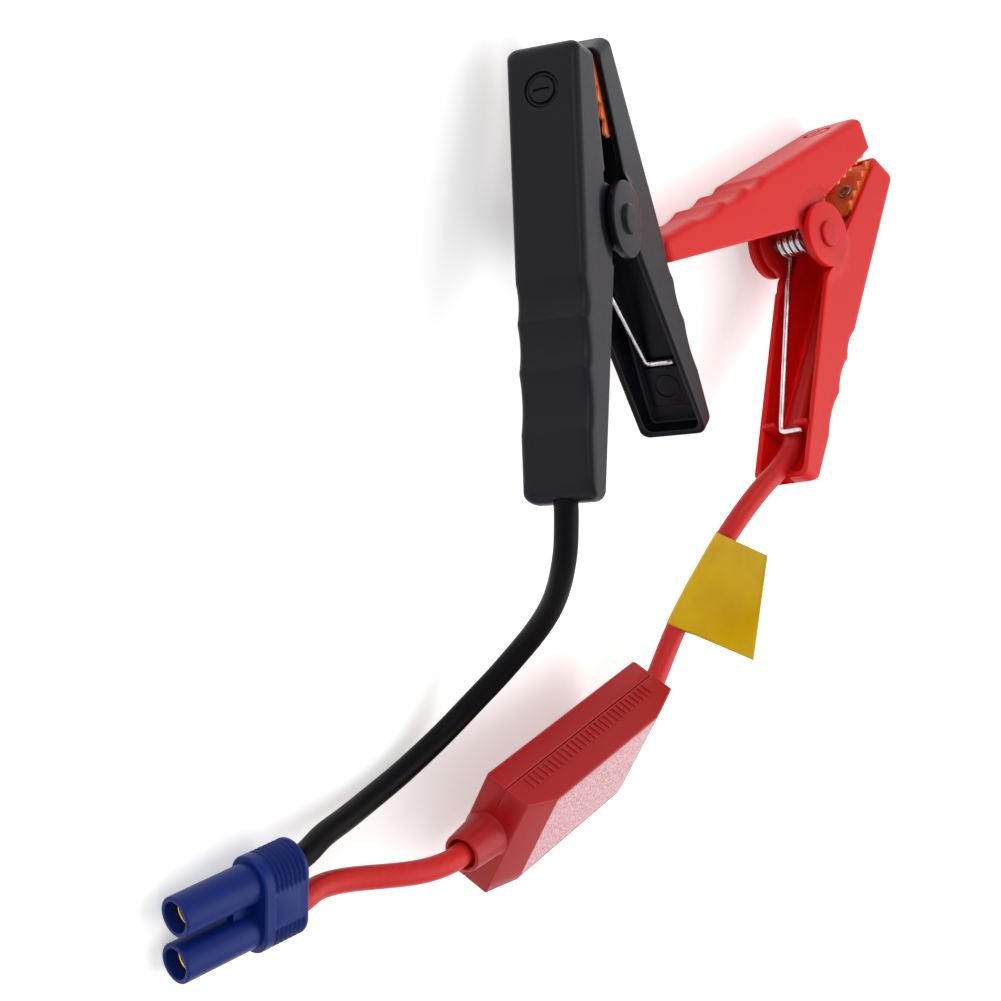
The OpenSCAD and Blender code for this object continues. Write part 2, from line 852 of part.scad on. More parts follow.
module red_cable_long_route() {
  in_set_frame()
    swept(
      concat([box_far, box_far + box_stub], long_route, [red_over, red_lift, red_stub, red_exit]),
      cable_radius, 10
    );
}

// The flag stands on the long red cable: two leaves glued face to face.
module flag() {
  in_set_frame()
    translate([71, 439.9, 11.6])
      rotate([12.2, -17.4, 166.2])
        rotate([-flag_lean, 0, 0])
          translate([0, -flag_thickness / 2, cable_radius + 0.3])
            cube([flag_length, flag_thickness, flag_height]);
}

// ---- nodes ---------------------------------------------------------------

module black_cable_half() { color([0.09, 0.09, 0.10]) at_black() far_half() cable_half(); }
module black_lever_half() { color([0.09, 0.09, 0.10]) at_black() near_half() lever_half(); }
module black_pin() { color([0.75, 0.76, 0.78]) at_black() hinge_pin(); }
module black_cable_jaw() { color([0.80, 0.45, 0.28]) at_black() far_half() jaw_plates(); }
module black_lever_jaw() { color([0.80, 0.45, 0.28]) at_black() near_half() jaw_plates(); }
module black_cable_rivet() { color([0.78, 0.62, 0.35]) at_black() far_half() rivet(); }
module black_lever_rivet() { color([0.78, 0.62, 0.35]) at_black() near_half() rivet(); }
module black_lug() { color([0.80, 0.45, 0.28]) at_black() far_half() lug(); }
module black_lead() { color([0.08, 0.08, 0.09]) at_black() far_half() lead(handle_length); }
module black_spring() {
  color([0.75, 0.76, 0.78])
    at_black()
      spring(
        leg_end(lever_bar_at, lever_bar_y, 0), leg_end(cable_bar_at, cable_bar_y, 1), lever_bar, -cable_bar
      );
}

module red_cable_half() { color([0.82, 0.12, 0.12]) at_red() near_half() cable_half(); }
module red_lever_half() { color([0.82, 0.12, 0.12]) at_red() far_half() lever_half(); }
module red_pin() { color([0.75, 0.76, 0.78]) at_red() hinge_pin(); }
module red_cable_jaw() { color([0.80, 0.45, 0.28]) at_red() near_half() jaw_plates(); }
module red_lever_jaw() { color([0.80, 0.45, 0.28]) at_red() far_half() jaw_plates(); }
module red_cable_rivet() { color([0.78, 0.62, 0.35]) at_red() near_half() rivet(); }
module red_lever_rivet() { color([0.78, 0.62, 0.35]) at_red() far_half() rivet(); }
module red_lug() { color([0.80, 0.45, 0.28]) at_red() near_half() lug(); }
module red_lead() { color([0.80, 0.12, 0.12]) at_red() near_half() lead(red_hold_end); }
module red_spring() {
  color([0.75, 0.76, 0.78])
    at_red()
      spring(
        leg_end(cable_bar_at, cable_bar_y, 0), leg_end(lever_bar_at, lever_bar_y, 1), cable_bar, -lever_bar
      );
}

module black_cable() { color([0.08, 0.08, 0.09]) black_cable_route(); }
module red_cable_short() { color([0.80, 0.12, 0.12]) red_cable_short_route(); }
module red_cable_long() { color([0.80, 0.12, 0.12]) red_cable_long_route(); }
module cable_flag() { color([0.92, 0.78, 0.15]) flag(); }
module lower_shell() { color([0.70, 0.12, 0.12]) at_box() box_lower_shell(); }
module upper_shell() { color([0.70, 0.12, 0.12]) at_box() box_upper_shell(); }
module board() { color([0.10, 0.35, 0.18]) at_box() box_board(); }
module diodes() { color([0.10, 0.10, 0.11]) at_box() box_diodes(); }
module box_lead_short() { color([0.80, 0.12, 0.12]) at_box() box_lead(-boss_length, 6); }
module box_lead_long() { color([0.80, 0.12, 0.12]) at_box() box_lead(box_length - 6, box_length); }
module housing() { color([0.13, 0.22, 0.50]) at_plug() plug_housing(); }
module contact_negative() { color([0.83, 0.66, 0.32]) at_plug() contact(); }
module contact_positive() {
  color([0.83, 0.66, 0.32])
    at_plug()
      translate([0, tube_spacing, 0])
        contact();
}

black_cable_half();
black_lever_half();
black_pin();
black_spring();
black_cable_jaw();
black_lever_jaw();
black_cable_rivet();
black_lever_rivet();
black_lug();
black_lead();
red_cable_half();
red_lever_half();
red_pin();
red_spring();
red_cable_jaw();
red_lever_jaw();
red_cable_rivet();
red_lever_rivet();
red_lug();
red_lead();
black_cable();
red_cable_short();
red_cable_long();
cable_flag();
lower_shell();  // box_lower_shell
upper_shell();  // box_upper_shell
board();  // box_board
diodes();  // box_diodes
box_lead_short();
box_lead_long();
housing();  // plug_housing
contact_negative();
contact_positive();
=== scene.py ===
"""Dressed model of a jump starter lead set: two sprung clamps, a two pole
plug, a diode box and a cable flag, joined by soft silicone cables.

Lengths are millimetres in the making and metres in the meshes."""
import math

import bmesh
import bpy
import numpy as np
from mathutils import Matrix, Vector


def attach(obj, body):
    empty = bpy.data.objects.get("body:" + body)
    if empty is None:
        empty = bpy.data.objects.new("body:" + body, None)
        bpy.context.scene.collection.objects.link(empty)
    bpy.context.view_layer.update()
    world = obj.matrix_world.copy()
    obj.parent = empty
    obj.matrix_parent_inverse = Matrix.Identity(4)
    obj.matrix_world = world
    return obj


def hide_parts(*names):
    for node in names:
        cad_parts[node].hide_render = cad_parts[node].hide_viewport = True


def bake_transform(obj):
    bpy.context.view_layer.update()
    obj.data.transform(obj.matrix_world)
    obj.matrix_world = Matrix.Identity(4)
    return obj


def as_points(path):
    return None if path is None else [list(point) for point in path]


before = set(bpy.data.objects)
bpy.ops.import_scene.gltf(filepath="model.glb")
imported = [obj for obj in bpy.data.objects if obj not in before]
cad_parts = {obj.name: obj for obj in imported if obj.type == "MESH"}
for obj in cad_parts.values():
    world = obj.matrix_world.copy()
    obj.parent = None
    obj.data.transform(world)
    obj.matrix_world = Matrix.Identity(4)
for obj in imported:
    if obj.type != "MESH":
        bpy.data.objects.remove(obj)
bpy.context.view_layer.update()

MM = 0.001

# ---- sizes shared with the solids ----
# In a clamp half s runs from the pivot to the handle's end, y to the back and
# z across. In the plug and the box x runs along, and y is up in the box.
HANDLE, JAW, HALF_W = 65.5, 36.6, 8.7
BACK, REST = 23.0, 17.8
WALL, TIP_WALL = 1.6, 1.2
FLOOR = 21.2
JAW_RAMP, EAR_MEET = -12.0, 8.2
TIP_DEPTH, JAW_DEPTH, EAR_DEPTH, END_DEPTH = 9.4, 13.4, 17.75, 6.4
CRESTS = (16.5, 25.5, 36.5, 50.0)
GROOVE = 1.1
EAR_R, EAR_FROM, EAR_TO, EAR_FADE = 8.9, 8.45, 10.35, (8.5, 12.6)
INNER_EAR = (6.65, 8.15)
RECESS_R, PAD_R = 13.0, 14.6
INNER_R, SEAT, RIVET_S, POST_R = 7.2, 15.0, -26.5, 3.2
CAP_R, CAP_H = 3.5, 0.9
WIRE_R, COIL_R, COIL_PITCH, COIL_SHIFT, COIL_TURN, HOOK = 0.8, 3.4, 2.1, -0.5, 1300, 1.6
LEVER_BAR, CABLE_BAR = (46.5, 20.1), (52.3, 14.55)
LEVER_SPAN, CABLE_SPAN = np.array([-3.5, 3.5]), np.array([-1.6, 5.4])
CABLE_R, CABLE_Y, LEAD_END = 2.75, 18.4, -15.6
SIGN_S, ARCH_R = -25.8, 3.05
RED_HOLD = 54.0
JAW_FRONT, PLATE_LEN, PLATE, FLANGE_Z = -35.2, 19.0, 0.9, 6.8
TOOTH, PITCH, WEB_LEN = 1.7, 3.8, 13.0
BOX_L, BOX_W, BOX_WALL = 66.8, 30.4, 1.8
BOX_END, BOX_TOP, SEAM = 12.2, 15.6, 5.8
AXIS_Y, AXIS_Z, BOSS_L = 6.1, 15.2, 10.0
TUBE_R, TUBE_GAP, PLUG_L, COLLAR_L, COLLAR_R = 4.45, 11.05, 31.1, 12.0, 5.8


# ---- places ----
def spin(axis, degrees):
    """The turn about one axis, as a 3 by 3 matrix."""
    return np.array(Matrix.Rotation(math.radians(degrees), 3, axis))


class Place:
    """A turned and shifted frame: maps points in millimetres to metres."""

    def __init__(self, at, turn):
        self.at = np.array(at, float)
        self.turn = spin("Z", turn[2]) @ spin("Y", turn[1]) @ spin("X", turn[0])

    def __call__(self, points):
        """Turn the points and add the place."""
        return (np.asarray(points, float) @ self.turn.T + self.at) * MM

    def then(self, turn):
        """The same place with one more turn made first."""
        made = Place(self.at, (0, 0, 0))
        made.turn = self.turn @ turn
        return made

    def matrix(self):
        """The place as a matrix for meshes in metres."""
        made = np.eye(4)
        made[:3, :3], made[:3, 3] = self.turn, self.at * MM
        return Matrix(made.tolist())


SET_CENTRE = np.array([31.653, 392.738, 0.0])


def in_set(at):
    """A point of the laid out set, moved to the row's origin."""
    return np.array(at, float) - SET_CENTRE


BLACK = Place(in_set((-28.8, 369.6, 19.9)), (14.9, 8.3, -165.5))
RED = Place(in_set((-35.9, 475.9, 14.4)), (-14.2, 4.1, 133.0))
BOX = Place(in_set((97.6, 353.4, 19.8)), (119.5, 4.1, 108.6))
PLUG = Place(in_set((113.4, 303.0, 9.1)), (-8.2, 5.6, -75.3))
ONE = spin("Z", 180 + REST)
OTHER = spin("X", 180) @ ONE
HALVES = {
    "black_cable_half": (BLACK.then(OTHER), "root"),
    "black_lever_half": (BLACK.then(ONE), "black_lever"),
    "red_cable_half": (RED.then(ONE), "root"),
    "red_lever_half": (RED.then(OTHER), "red_lever"),
}


# ---- meshes ----
def unit(vectors):
    """The same directions at length one, along the last axis."""
    v = np.asarray(vectors, float)
    return v / np.linalg.norm(v, axis=-1, keepdims=True)


def xyz(x, y, z):
    """Points from their coordinates, each an array or one number."""
    return np.stack(np.broadcast_arrays(x, y, z), -1)


def run(path):
    """How far along a path each of its points lies."""
    return np.concatenate([[0], np.cumsum(np.linalg.norm(np.diff(path, axis=0), axis=1))])


def round_ends(low, high, r, steps):
    """The rounded edges at both ends of a run, as two lists of (inset,
    station) pairs: r(1 - sin q) at r(1 - cos q) from the end."""
    q = np.linspace(0, np.pi / 2, steps)
    inset, depth = r * (1 - np.sin(q)), r * (1 - np.cos(q))
    return list(zip(inset, low + depth)), list(zip(inset, high - depth))[::-1]


def soup(*parts):
    """Several (points, faces) pairs as one pair."""
    points, faces, base = [], [], 0
    for p, f in parts:
        points.append(np.asarray(p, float))
        faces += [[i + base for i in face] for face in f]
        base += len(p)
    return np.concatenate(points), faces


def loft(rings, wrap=False):
    """Rings of points, n by m by 3, skinned in order. The ends are closed by
    one face each, or the last ring meets the first where wrap is true."""
    rings = np.asarray(rings, float)
    n, m = rings.shape[:2]
    i = np.arange(n if wrap else n - 1)[:, None]
    k = np.arange(m)[None, :]
    a, b = i * m + k, i * m + (k + 1) % m
    c, d = ((i + 1) % n) * m + (k + 1) % m, ((i + 1) % n) * m + k
    faces = np.stack([a, b, c, d], -1).reshape(-1, 4).tolist()
    if not wrap:
        faces += [list(range(m))[::-1], list(range((n - 1) * m, n * m))]
    return rings.reshape(-1, 3), faces


def lathe(profile, sides=48, at=(0, 0, 0), axis="x"):
    """A closed profile of (along, radius) points turned round an axis."""
    p = np.array(profile, float)
    t = np.linspace(0, 2 * np.pi, sides, endpoint=False)[:, None]
    along, u, v = p[:, 0], p[:, 1] * np.cos(t), p[:, 1] * np.sin(t)
    order = {"x": (along, u, v), "z": (u, v, along), "y": (v, along, u)}[axis]
    return loft(xyz(*order) + np.array(at, float), wrap=True)


def block(low, high, r=0.25, axis=2):
    """A box with rounded edges: rounded rectangles, drawn in by a quarter
    circle at both ends."""
    low, high = np.array(low, float), np.array(high, float)
    mid, half = (low + high) / 2, (high - low) / 2
    u, v = [k for k in range(3) if k != axis]
    t = np.linspace(0, 2 * np.pi, 24, endpoint=False) + np.pi / 24
    near, far = round_ends(-half[axis], half[axis], r, 4)
    rings = []
    for inset, station in near + far:
        ring = np.full((24, 3), station)
        ring[:, u] = np.sign(np.cos(t)) * (half[u] - r) + np.cos(t) * (r - inset)
        ring[:, v] = np.sign(np.sin(t)) * (half[v] - r) + np.sin(t) * (r - inset)
        rings.append(ring + mid)
    return loft(rings)


def put(name, data):
    """A new object in the scene."""
    obj = bpy.data.objects.new(name, data)
    bpy.context.scene.collection.objects.link(obj)
    return obj


def shade(mesh, degrees):
    """Smooth shading up to an angle."""
    mesh.polygons.foreach_set("use_smooth", [True] * len(mesh.polygons))
    mesh.set_sharp_from_angle(angle=math.radians(degrees))


def build(name, parts, place, mat=None, body=None, smooth=40, weld=True):
    """A mesh object from (points, faces) pairs, shaded smooth up to an
    angle, with its faces outward."""
    points, faces = soup(*parts)
    mesh = bpy.data.meshes.new(name)
    mesh.from_pydata(place(points).tolist(), [], faces)
    bm = bmesh.new()
    bm.from_mesh(mesh)
    if weld:
        bmesh.ops.remove_doubles(bm, verts=bm.verts, dist=1e-6)
    bmesh.ops.recalc_face_normals(bm, faces=bm.faces)
    bm.to_mesh(mesh)
    bm.free()
    shade(mesh, smooth)
    obj = put(name, mesh)
    if mat is not None:
        mesh.materials.append(mat)
    if body is not None:
        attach(obj, body)
    return obj


def stand_in(node, name, parts, place, mat, body="root", smooth=40):
    """A piece that takes the place of one node."""
    obj = build(name, parts, place, mat, body, smooth)
    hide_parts(node)
    return obj


def cut(obj, parts, place, smooth=40):
    """Takes the space of some closed skins out of obj."""
    cutter = build("cutter", parts, place)
    mod = obj.modifiers.new("cut", "BOOLEAN")
    mod.operation = "DIFFERENCE"
    mod.solver = "EXACT"
    mod.object = cutter
    depsgraph = bpy.context.evaluated_depsgraph_get()
    made = bpy.data.meshes.new_from_object(obj.evaluated_get(depsgraph))
    obj.modifiers.remove(mod)
    obj.data = made
    shade(made, smooth)
    bpy.data.objects.remove(cutter)


def join(obj, parts, place, mats):
    """Puts more closed skins into obj, as a new mesh with these materials."""
    more = build(obj.name + "_trim", parts, place)
    bm = bmesh.new()
    bm.from_mesh(obj.data)
    bm.from_mesh(more.data)
    mesh = bpy.data.meshes.new(obj.name)
    bm.to_mesh(mesh)
    bm.free()
    bpy.data.objects.remove(more)
    obj.data = mesh
    for mat in mats:
        mesh.materials.append(mat)
    return mesh


def smoothstep(x, low, high):
    """0 before low, 1 after high, and a smooth cubic between."""
    t = np.clip((x - low) / (high - low), 0, 1)
    return t * t * (3 - 2 * t)


# ---- shader helpers ----
def srgb(r, g, b):
    """A screen colour in 0 to 255 as linear light."""
    c = np.array([r, g, b]) / 255
    return tuple(np.where(c <= 0.04045, c / 12.92, ((c + 0.055) / 1.055) ** 2.4)) + (1.0,)


class Nodes:
    """Short names for adding and joining shader nodes."""

    def __init__(self, tree):
        self.tree = tree

    def fill(self, node, **values):
        """Sets a node's properties or feeds its sockets, by name."""
        for key, value in values.items():
            if hasattr(node, key):
                setattr(node, key, value)
            else:
                self.feed(node.inputs[key.replace("_", " ")], value)
        return node

    def add(self, kind, **values):
        """A new node, filled."""
        return self.fill(self.tree.nodes.new(kind), **values)

    def feed(self, socket, value):
        """Joins an output to a socket, or sets the socket."""
        if isinstance(value, bpy.types.NodeSocket):
            self.tree.links.new(value, socket)
        else:
            socket.default_value = value

    def maths(self, operation, *values):
        """One Math node."""
        node = self.add("ShaderNodeMath", operation=operation)
        for k, value in enumerate(values):
            self.feed(node.inputs[k], value)
        return node.outputs[0]

    def mix(self, a, b, factor):
        """A colour mix."""
        node = self.add("ShaderNodeMix", data_type="RGBA")
        for socket, value in ((0, factor), (6, a), (7, b)):
            self.feed(node.inputs[socket], value)
        return node.outputs[2]

    def spread(self, value, low, high, to_low=0.0, to_high=1.0):
        """A clamped Map Range."""
        return self.add("ShaderNodeMapRange", Value=value, From_Min=low, From_Max=high, To_Min=to_low,
                        To_Max=to_high).outputs[0]

    def where(self):
        """The place on the object, in metres."""
        return self.add("ShaderNodeTexCoord").outputs["Object"]

    def noise(self, where, scale, detail):
        """A Noise texture's value."""
        return self.add("ShaderNodeTexNoise", Vector=where, Scale=scale, Detail=detail).outputs[0]

    def bump(self, node, strength, height, distance=0.0002):
        """Feeds a height to a shader's normal."""
        made = self.add("ShaderNodeBump", Strength=strength, Distance=distance, Height=height)
        self.feed(node.inputs["Normal"], made.outputs[0])


def group(name, inputs, outputs):
    """A new shader node group with named sockets and its ends."""
    tree = bpy.data.node_groups.new(name, "ShaderNodeTree")
    for label, kind, value in inputs:
        made = tree.interface.new_socket(label, in_out="INPUT", socket_type="NodeSocket" + kind)
        made.default_value = value
    for label, kind in outputs:
        tree.interface.new_socket(label, in_out="OUTPUT", socket_type="NodeSocket" + kind)
    nodes = Nodes(tree)
    return tree, nodes, nodes.add("NodeGroupInput").outputs, nodes.add("NodeGroupOutput").inputs


def moulded_group():
    """Moulded plastic skin: the colour drifts a little over some millimetres,
    the gloss breaks up, and the surface has a faint flow and grain."""
    tree, n, gin, gout = group(
        "moulded_skin",
        [("Color", "Color", (0.5, 0.5, 0.5, 1)), ("Drift", "Float", 0.1), ("Roughness", "Float", 0.35),
         ("Grain", "Float", 0.1), ("Flow", "Float", 0.1)],
        [("Color", "Color"), ("Roughness", "Float"), ("Height", "Float")])
    where = n.where()
    broad = n.noise(where, 90.0, 3.0)
    fine = n.noise(where, 2600.0, 4.0)
    specks = n.add("ShaderNodeTexVoronoi", Vector=where, Scale=700.0).outputs[0]
    dark = n.add("ShaderNodeHueSaturation", Color=gin["Color"], Value=0.72).outputs[0]
    n.feed(gout["Color"], n.mix(gin["Color"], dark, n.maths("MULTIPLY", broad, gin["Drift"])))
    scuff = n.maths("MULTIPLY", n.spread(fine, 0.45, 0.75), 0.12)
    worn = n.maths("MULTIPLY", n.spread(specks, 0.0, 0.25, 1.0, 0.0), 0.05)
    n.feed(gout["Roughness"], n.maths("ADD", n.maths("ADD", gin["Roughness"], scuff), worn))
    n.feed(gout["Height"], n.maths("ADD", n.maths("MULTIPLY", fine, gin["Grain"]),
                                   n.maths("MULTIPLY", broad, gin["Flow"])))
    return tree


def spark_group():
    """Spark eroded mould texture: two sizes of round pits, as height and as a mask of the facets between
    them, where painted glints go."""
    tree, n, gin, gout = group(
        "spark_texture", [("Size", "Float", 1.0)], [("Height", "Float"), ("Facets", "Float")])
    where = n.where()
    coarse = n.add("ShaderNodeTexVoronoi", Vector=where,
                   Scale=n.maths("MULTIPLY", gin["Size"], 1900.0)).outputs[0]
    grit = n.noise(where, n.maths("MULTIPLY", gin["Size"], 3000.0), 4.0)
    n.feed(gout["Height"], n.maths("ADD", n.maths("MULTIPLY", coarse, 0.8), n.maths("MULTIPLY", grit, 0.9)))
    n.feed(gout["Facets"], n.spread(grit, 0.42, 0.62))
    return tree


SKIN = moulded_group()
SPARK = spark_group()


def shader(name):
    """A material with its Principled shader, as (material, nodes, shader)."""
    mat = bpy.data.materials.new(name)
    mat.use_nodes = True
    return mat, Nodes(mat.node_tree), mat.node_tree.nodes["Principled BSDF"]


def plastic(name, color, rough, drift=0.3, grain=0.25, bump=0.15, specular=0.5, scatter=0.0, scale=0.003):
    """Moulded plastic from the shared skin. Where it scatters, red light
    travels furthest inside it, over the scale in metres."""
    mat, n, p = shader(name)
    skin = n.add("ShaderNodeGroup", node_tree=SKIN, Color=color, Drift=drift, Roughness=rough, Grain=grain,
                 Flow=0.5)
    n.fill(p, Base_Color=skin.outputs["Color"], Roughness=skin.outputs["Roughness"],
           Specular_IOR_Level=specular, Subsurface_Weight=scatter, Subsurface_Radius=(1.0, 0.1, 0.05),
           Subsurface_Scale=scale)
    n.bump(p, bump, skin.outputs["Height"])
    return mat


def panel_plastic(name, color, bright):
    """Box plastic whose raised panel has a spark texture. Its paler pink red base is partly the plastic's own
    colour and partly painted sheen, and the facets between the pits carry painted glints of pale pink.
    """
    mat, n, p = shader(name)
    pits = n.add("ShaderNodeGroup", node_tree=SPARK, Size=0.6)
    # painted glints: a pale pink over the facets, where the texture would catch the light
    painted_glints = n.mix(color, bright, n.maths("MULTIPLY", pits.outputs["Facets"], 0.75))
    n.fill(p, Base_Color=painted_glints, Roughness=0.38, Coat_Weight=0.4, Coat_Roughness=0.25)
    n.bump(p, 0.9, pits.outputs["Height"])
    return mat


def metal(name, color, dark, rough, scale=900.0, metallic=1.0):
    """Metal with tarnish in drifts and fine drawing marks."""
    mat, n, p = shader(name)
    where = n.where()
    drift, marks = n.noise(where, 260.0, 4.0), n.noise(where, scale, 5.0)
    n.fill(p, Metallic=metallic, Base_Color=n.mix(color, dark, n.spread(drift, 0.42, 0.72, 0.0, 0.8)),
           Roughness=n.spread(marks, 0.3, 0.7, rough * 0.75, rough * 1.4))
    n.bump(p, 0.1, marks)
    return mat


def silicone(name, color, sheen, specular, rough=0.42):
    """Silicone cable: soft gloss, a faint powdery skin whose paler patches in the sheen colour are painted
    sheen, and long shallow waves along its run."""
    mat, n, p = shader(name)
    where = n.where()
    powder, waves = n.noise(where, 900.0, 5.0), n.noise(where, 120.0, 2.0)
    # painted sheen: the paler sheen colour is mixed in over the powder's patches
    n.fill(p, Base_Color=n.mix(color, sheen, n.spread(powder, 0.5, 0.8, 0.0, 0.35)),
           Specular_IOR_Level=specular, Roughness=n.spread(waves, 0.3, 0.7, rough * 0.85, rough * 1.15))
    n.bump(p, 0.12, powder)
    return mat


BLACK_PLASTIC = plastic("black_clamp_plastic", srgb(12, 12, 24), 0.3, specular=0.18)
RED_PLASTIC = plastic("red_clamp_plastic", srgb(216, 22, 20), 0.36, drift=0.2, specular=0.22, scatter=0.65,
                      scale=0.005)
BOX_PLASTIC = plastic("red_box_plastic", srgb(176, 18, 22), 0.33, specular=0.3, scatter=0.1)
# the panel's pink base is partly painted sheen; its pale pink second colour is painted glints
PANEL = panel_plastic("red_box_panel", srgb(164, 46, 56), srgb(248, 184, 196))
BLUE_PLASTIC = plastic("blue_plug_plastic", srgb(8, 36, 112), 0.36, specular=0.18)
COPPER = metal("jaw_copper", srgb(255, 140, 72), srgb(244, 104, 46), 0.34, metallic=0.1)
ZINC = metal("spring_zinc", srgb(222, 224, 228), srgb(150, 152, 156), 0.2, 1200.0)
STEEL = metal("pin_steel", srgb(190, 192, 196), srgb(130, 132, 136), 0.3)
BRASS = metal("contact_brass", srgb(236, 196, 104), srgb(176, 126, 50), 0.2)
RIVET = metal("rivet_steel", srgb(178, 176, 174), srgb(118, 110, 102), 0.34)
# each cable's second colour is painted sheen
BLACK_CABLE = silicone("black_silicone", srgb(5, 5, 8), srgb(16, 16, 20), 0.07)
RED_CABLE = silicone("red_silicone", srgb(204, 30, 28), srgb(216, 60, 56), 0.3)


def flag_material():
    """Yellow label film: fine paper fibre under a satin film, with a slow
    drift of tone."""
    mat, n, p = shader("yellow_flag")
    where = n.where()
    fibre = n.noise(where, 1500.0, 6.0)
    tone = n.spread(n.noise(where, 110.0, 2.0), 0.35, 0.7)
    n.fill(p, Base_Color=n.mix(srgb(230, 188, 6), srgb(220, 176, 3), tone), Specular_IOR_Level=0.2,
           Roughness=n.spread(fibre, 0.3, 0.7, 0.26, 0.38))
    n.bump(p, 0.1, fibre, distance=0.0001)
    return mat


FLAG = flag_material()
BOARD = plastic("board_green", srgb(24, 96, 52), 0.4, drift=0.5, bump=0.2)
DIODE = plastic("diode_black", srgb(26, 26, 27), 0.5, drift=0.25, grain=0.6, bump=0.2)


# ---- camera ----
SENSOR, FOCAL_SHARE, EYE_HEIGHT = 36.0, 1970.4 / 1001.0, 0.2862
EYE_BACK, EYE_RIGHT = Vector((-0.0794, -0.7916, 0.6059)), Vector((-0.1029, 0.6111, 0.7849))


def make_camera():
    """The viewing camera: its columns are right, up and back. Its focal
    length is given as a share of the picture's width."""
    data = bpy.data.cameras.new("camera")
    data.sensor_width = SENSOR
    data.lens = SENSOR * FOCAL_SHARE
    data.clip_start = 0.01
    obj = put("camera", data)
    back = EYE_BACK.normalized()
    up = back.cross(EYE_RIGHT.normalized()).normalized()
    right = up.cross(back)
    where = Vector((-SET_CENTRE * MM).tolist()) + Vector((0, 0, EYE_HEIGHT))
    obj.matrix_world = Matrix((*zip(right, up, back, where), (0, 0, 0, 1)))
    bpy.context.scene.camera = obj


make_camera()


# ---- cables ----
def spline(points, start, end, count):
    """A cubic curve through the points with given end directions: the slopes
    solve the tridiagonal system of equal second slopes at each knot."""
    p = np.asarray(points, float)
    knots = run(p)
    h, n = np.diff(knots), len(p)
    a, rhs = np.zeros((n, n)), np.zeros((n, 3))
    a[0, 0] = a[-1, -1] = 1
    rhs[0], rhs[-1] = unit(start), unit(end)
    for i in range(1, n - 1):
        a[i, i - 1], a[i, i], a[i, i + 1] = 1 / h[i - 1], 2 / h[i - 1] + 2 / h[i], 1 / h[i]
        rhs[i] = 3 * ((p[i] - p[i - 1]) / h[i - 1] ** 2 + (p[i + 1] - p[i]) / h[i] ** 2)
    m = np.linalg.solve(a, rhs)
    s = np.linspace(0, knots[-1], count)
    i = np.clip(np.searchsorted(knots, s, side="right") - 1, 0, n - 2)
    t = ((s - knots[i]) / h[i])[:, None]
    hi = h[i][:, None]
    return ((2 * t ** 3 - 3 * t ** 2 + 1) * p[i] + (t ** 3 - 2 * t ** 2 + t) * hi * m[i]
            + (3 * t ** 2 - 2 * t ** 3) * p[i + 1] + (t ** 3 - t ** 2) * hi * m[i + 1])


def tube_rings(path, radius, sides, first=(0.0, 0.0, 1.0)):
    """Round rings across a path, each carried on from the one before without
    twist. The radius may differ at each point."""
    path = np.asarray(path, float)
    tangent = unit(np.gradient(path, axis=0))
    side, sideways = np.array(first, float), []
    for t in tangent:
        side = unit(side - (side @ t) * t)
        sideways.append(side)
    u = np.array(sideways)[:, None]
    v = np.cross(tangent, u[:, 0])[:, None]
    a = np.linspace(0, 2 * np.pi, sides, endpoint=False)[:, None]
    r = np.broadcast_to(np.asarray(radius, float), (len(path),))[:, None, None]
    return path[:, None] + r * (np.cos(a) * u + np.sin(a) * v)


ROW = Place((0, 0, 0), (0, 0, 0))


def at(place, *point):
    """One point of a place, in millimetres in the row frame."""
    return place(np.array(point, float)) / MM


def mouth(place, x, y, z, out):
    """Where a cable ends: the point itself, one a little further out, and
    the direction outward, which is along the place's x or against it."""
    return at(place, x, y, z), at(place, x + 0.8 * out, y, z), out * place.turn[:, 0]


def free_cable(name, node, start, lay, finish, mat):
    """A free cable: a round tube on a smooth curve that leaves its two
    mouths straight and passes through the points of its lay."""
    points = [*start[:2], *lay, *finish[1::-1]]
    path = spline(points, start[2], -finish[2], 160)
    obj = stand_in(node, name, [loft(tube_rings(path, CABLE_R, 28))], ROW, mat, smooth=60)
    float(run(path)[-1]) * MM
    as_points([tuple(q) for q in path[::5] * MM]
            + [tuple(path[-1] * MM)])
    return obj, path


BLACK_HOLD, RED_HOLDER = HALVES["black_cable_half"][0], HALVES["red_cable_half"][0]
BLACK_LAY = [in_set(p) for p in (
    (39, 348.8, 38), (42.4, 349.8, 37.6), (46.6, 351.6, 36.3), (52, 354.6, 33.6), (57.2, 357.7, 30),
    (62.4, 360.2, 25.7), (67.6, 361.7, 21.2), (72.3, 361.9, 17.4), (77, 361.2, 14), (82.3, 359.1, 10.6),
    (87.1, 356.2, 8.1), (91.9, 352, 6.2), (96.1, 346.9, 5), (99.8, 341, 4.5), (102.9, 334.4, 4.6),
    (105.5, 327.3, 5.4), (107.8, 320.1, 6.4), (109.9, 313.1, 7.5))]
SHORT_LAY = [in_set(p) for p in (
    (121.3, 312.8, 7.6), (120.4, 316.6, 8.3), (119.9, 321.4, 9.8), (119.7, 326, 11.6),
    (119.5, 330.6, 13.6), (119.2, 335.2, 15.5), (118.8, 338.8, 16.7))]
LONG_LAY = [in_set(p) for p in (
    (89.4, 426.6, 12.4), (86.1, 430.5, 11.9), (82.1, 433.8, 11.5), (76.4, 437.2, 11.3),
    (71.3, 439.4, 11.7), (65.5, 441.3, 12.9), (59.1, 442.8, 14.9), (52.6, 444.1, 17.3),
    (46.4, 445.3, 19.7), (41, 446.8, 21.9), (36.9, 448.5, 23.5), (33.4, 450.4, 24.8), (29.9, 453.2, 25.9))]
LONG_LAY += [at(RED_HOLDER, HANDLE - 1, CABLE_Y - 3.6, 0), at(RED_HOLDER, 59.5, CABLE_Y - 1.3, 0)]
free_cable("black_cable_run", "black_cable", mouth(BLACK_HOLD, HANDLE, CABLE_Y, 0, 1), BLACK_LAY,
           mouth(PLUG, 0, 0, 0, -1), BLACK_CABLE)
free_cable("red_cable_to_box", "red_cable_short", mouth(PLUG, 0, TUBE_GAP, 0, -1), SHORT_LAY,
           mouth(BOX, -BOSS_L, AXIS_Y, AXIS_Z, -1), RED_CABLE)
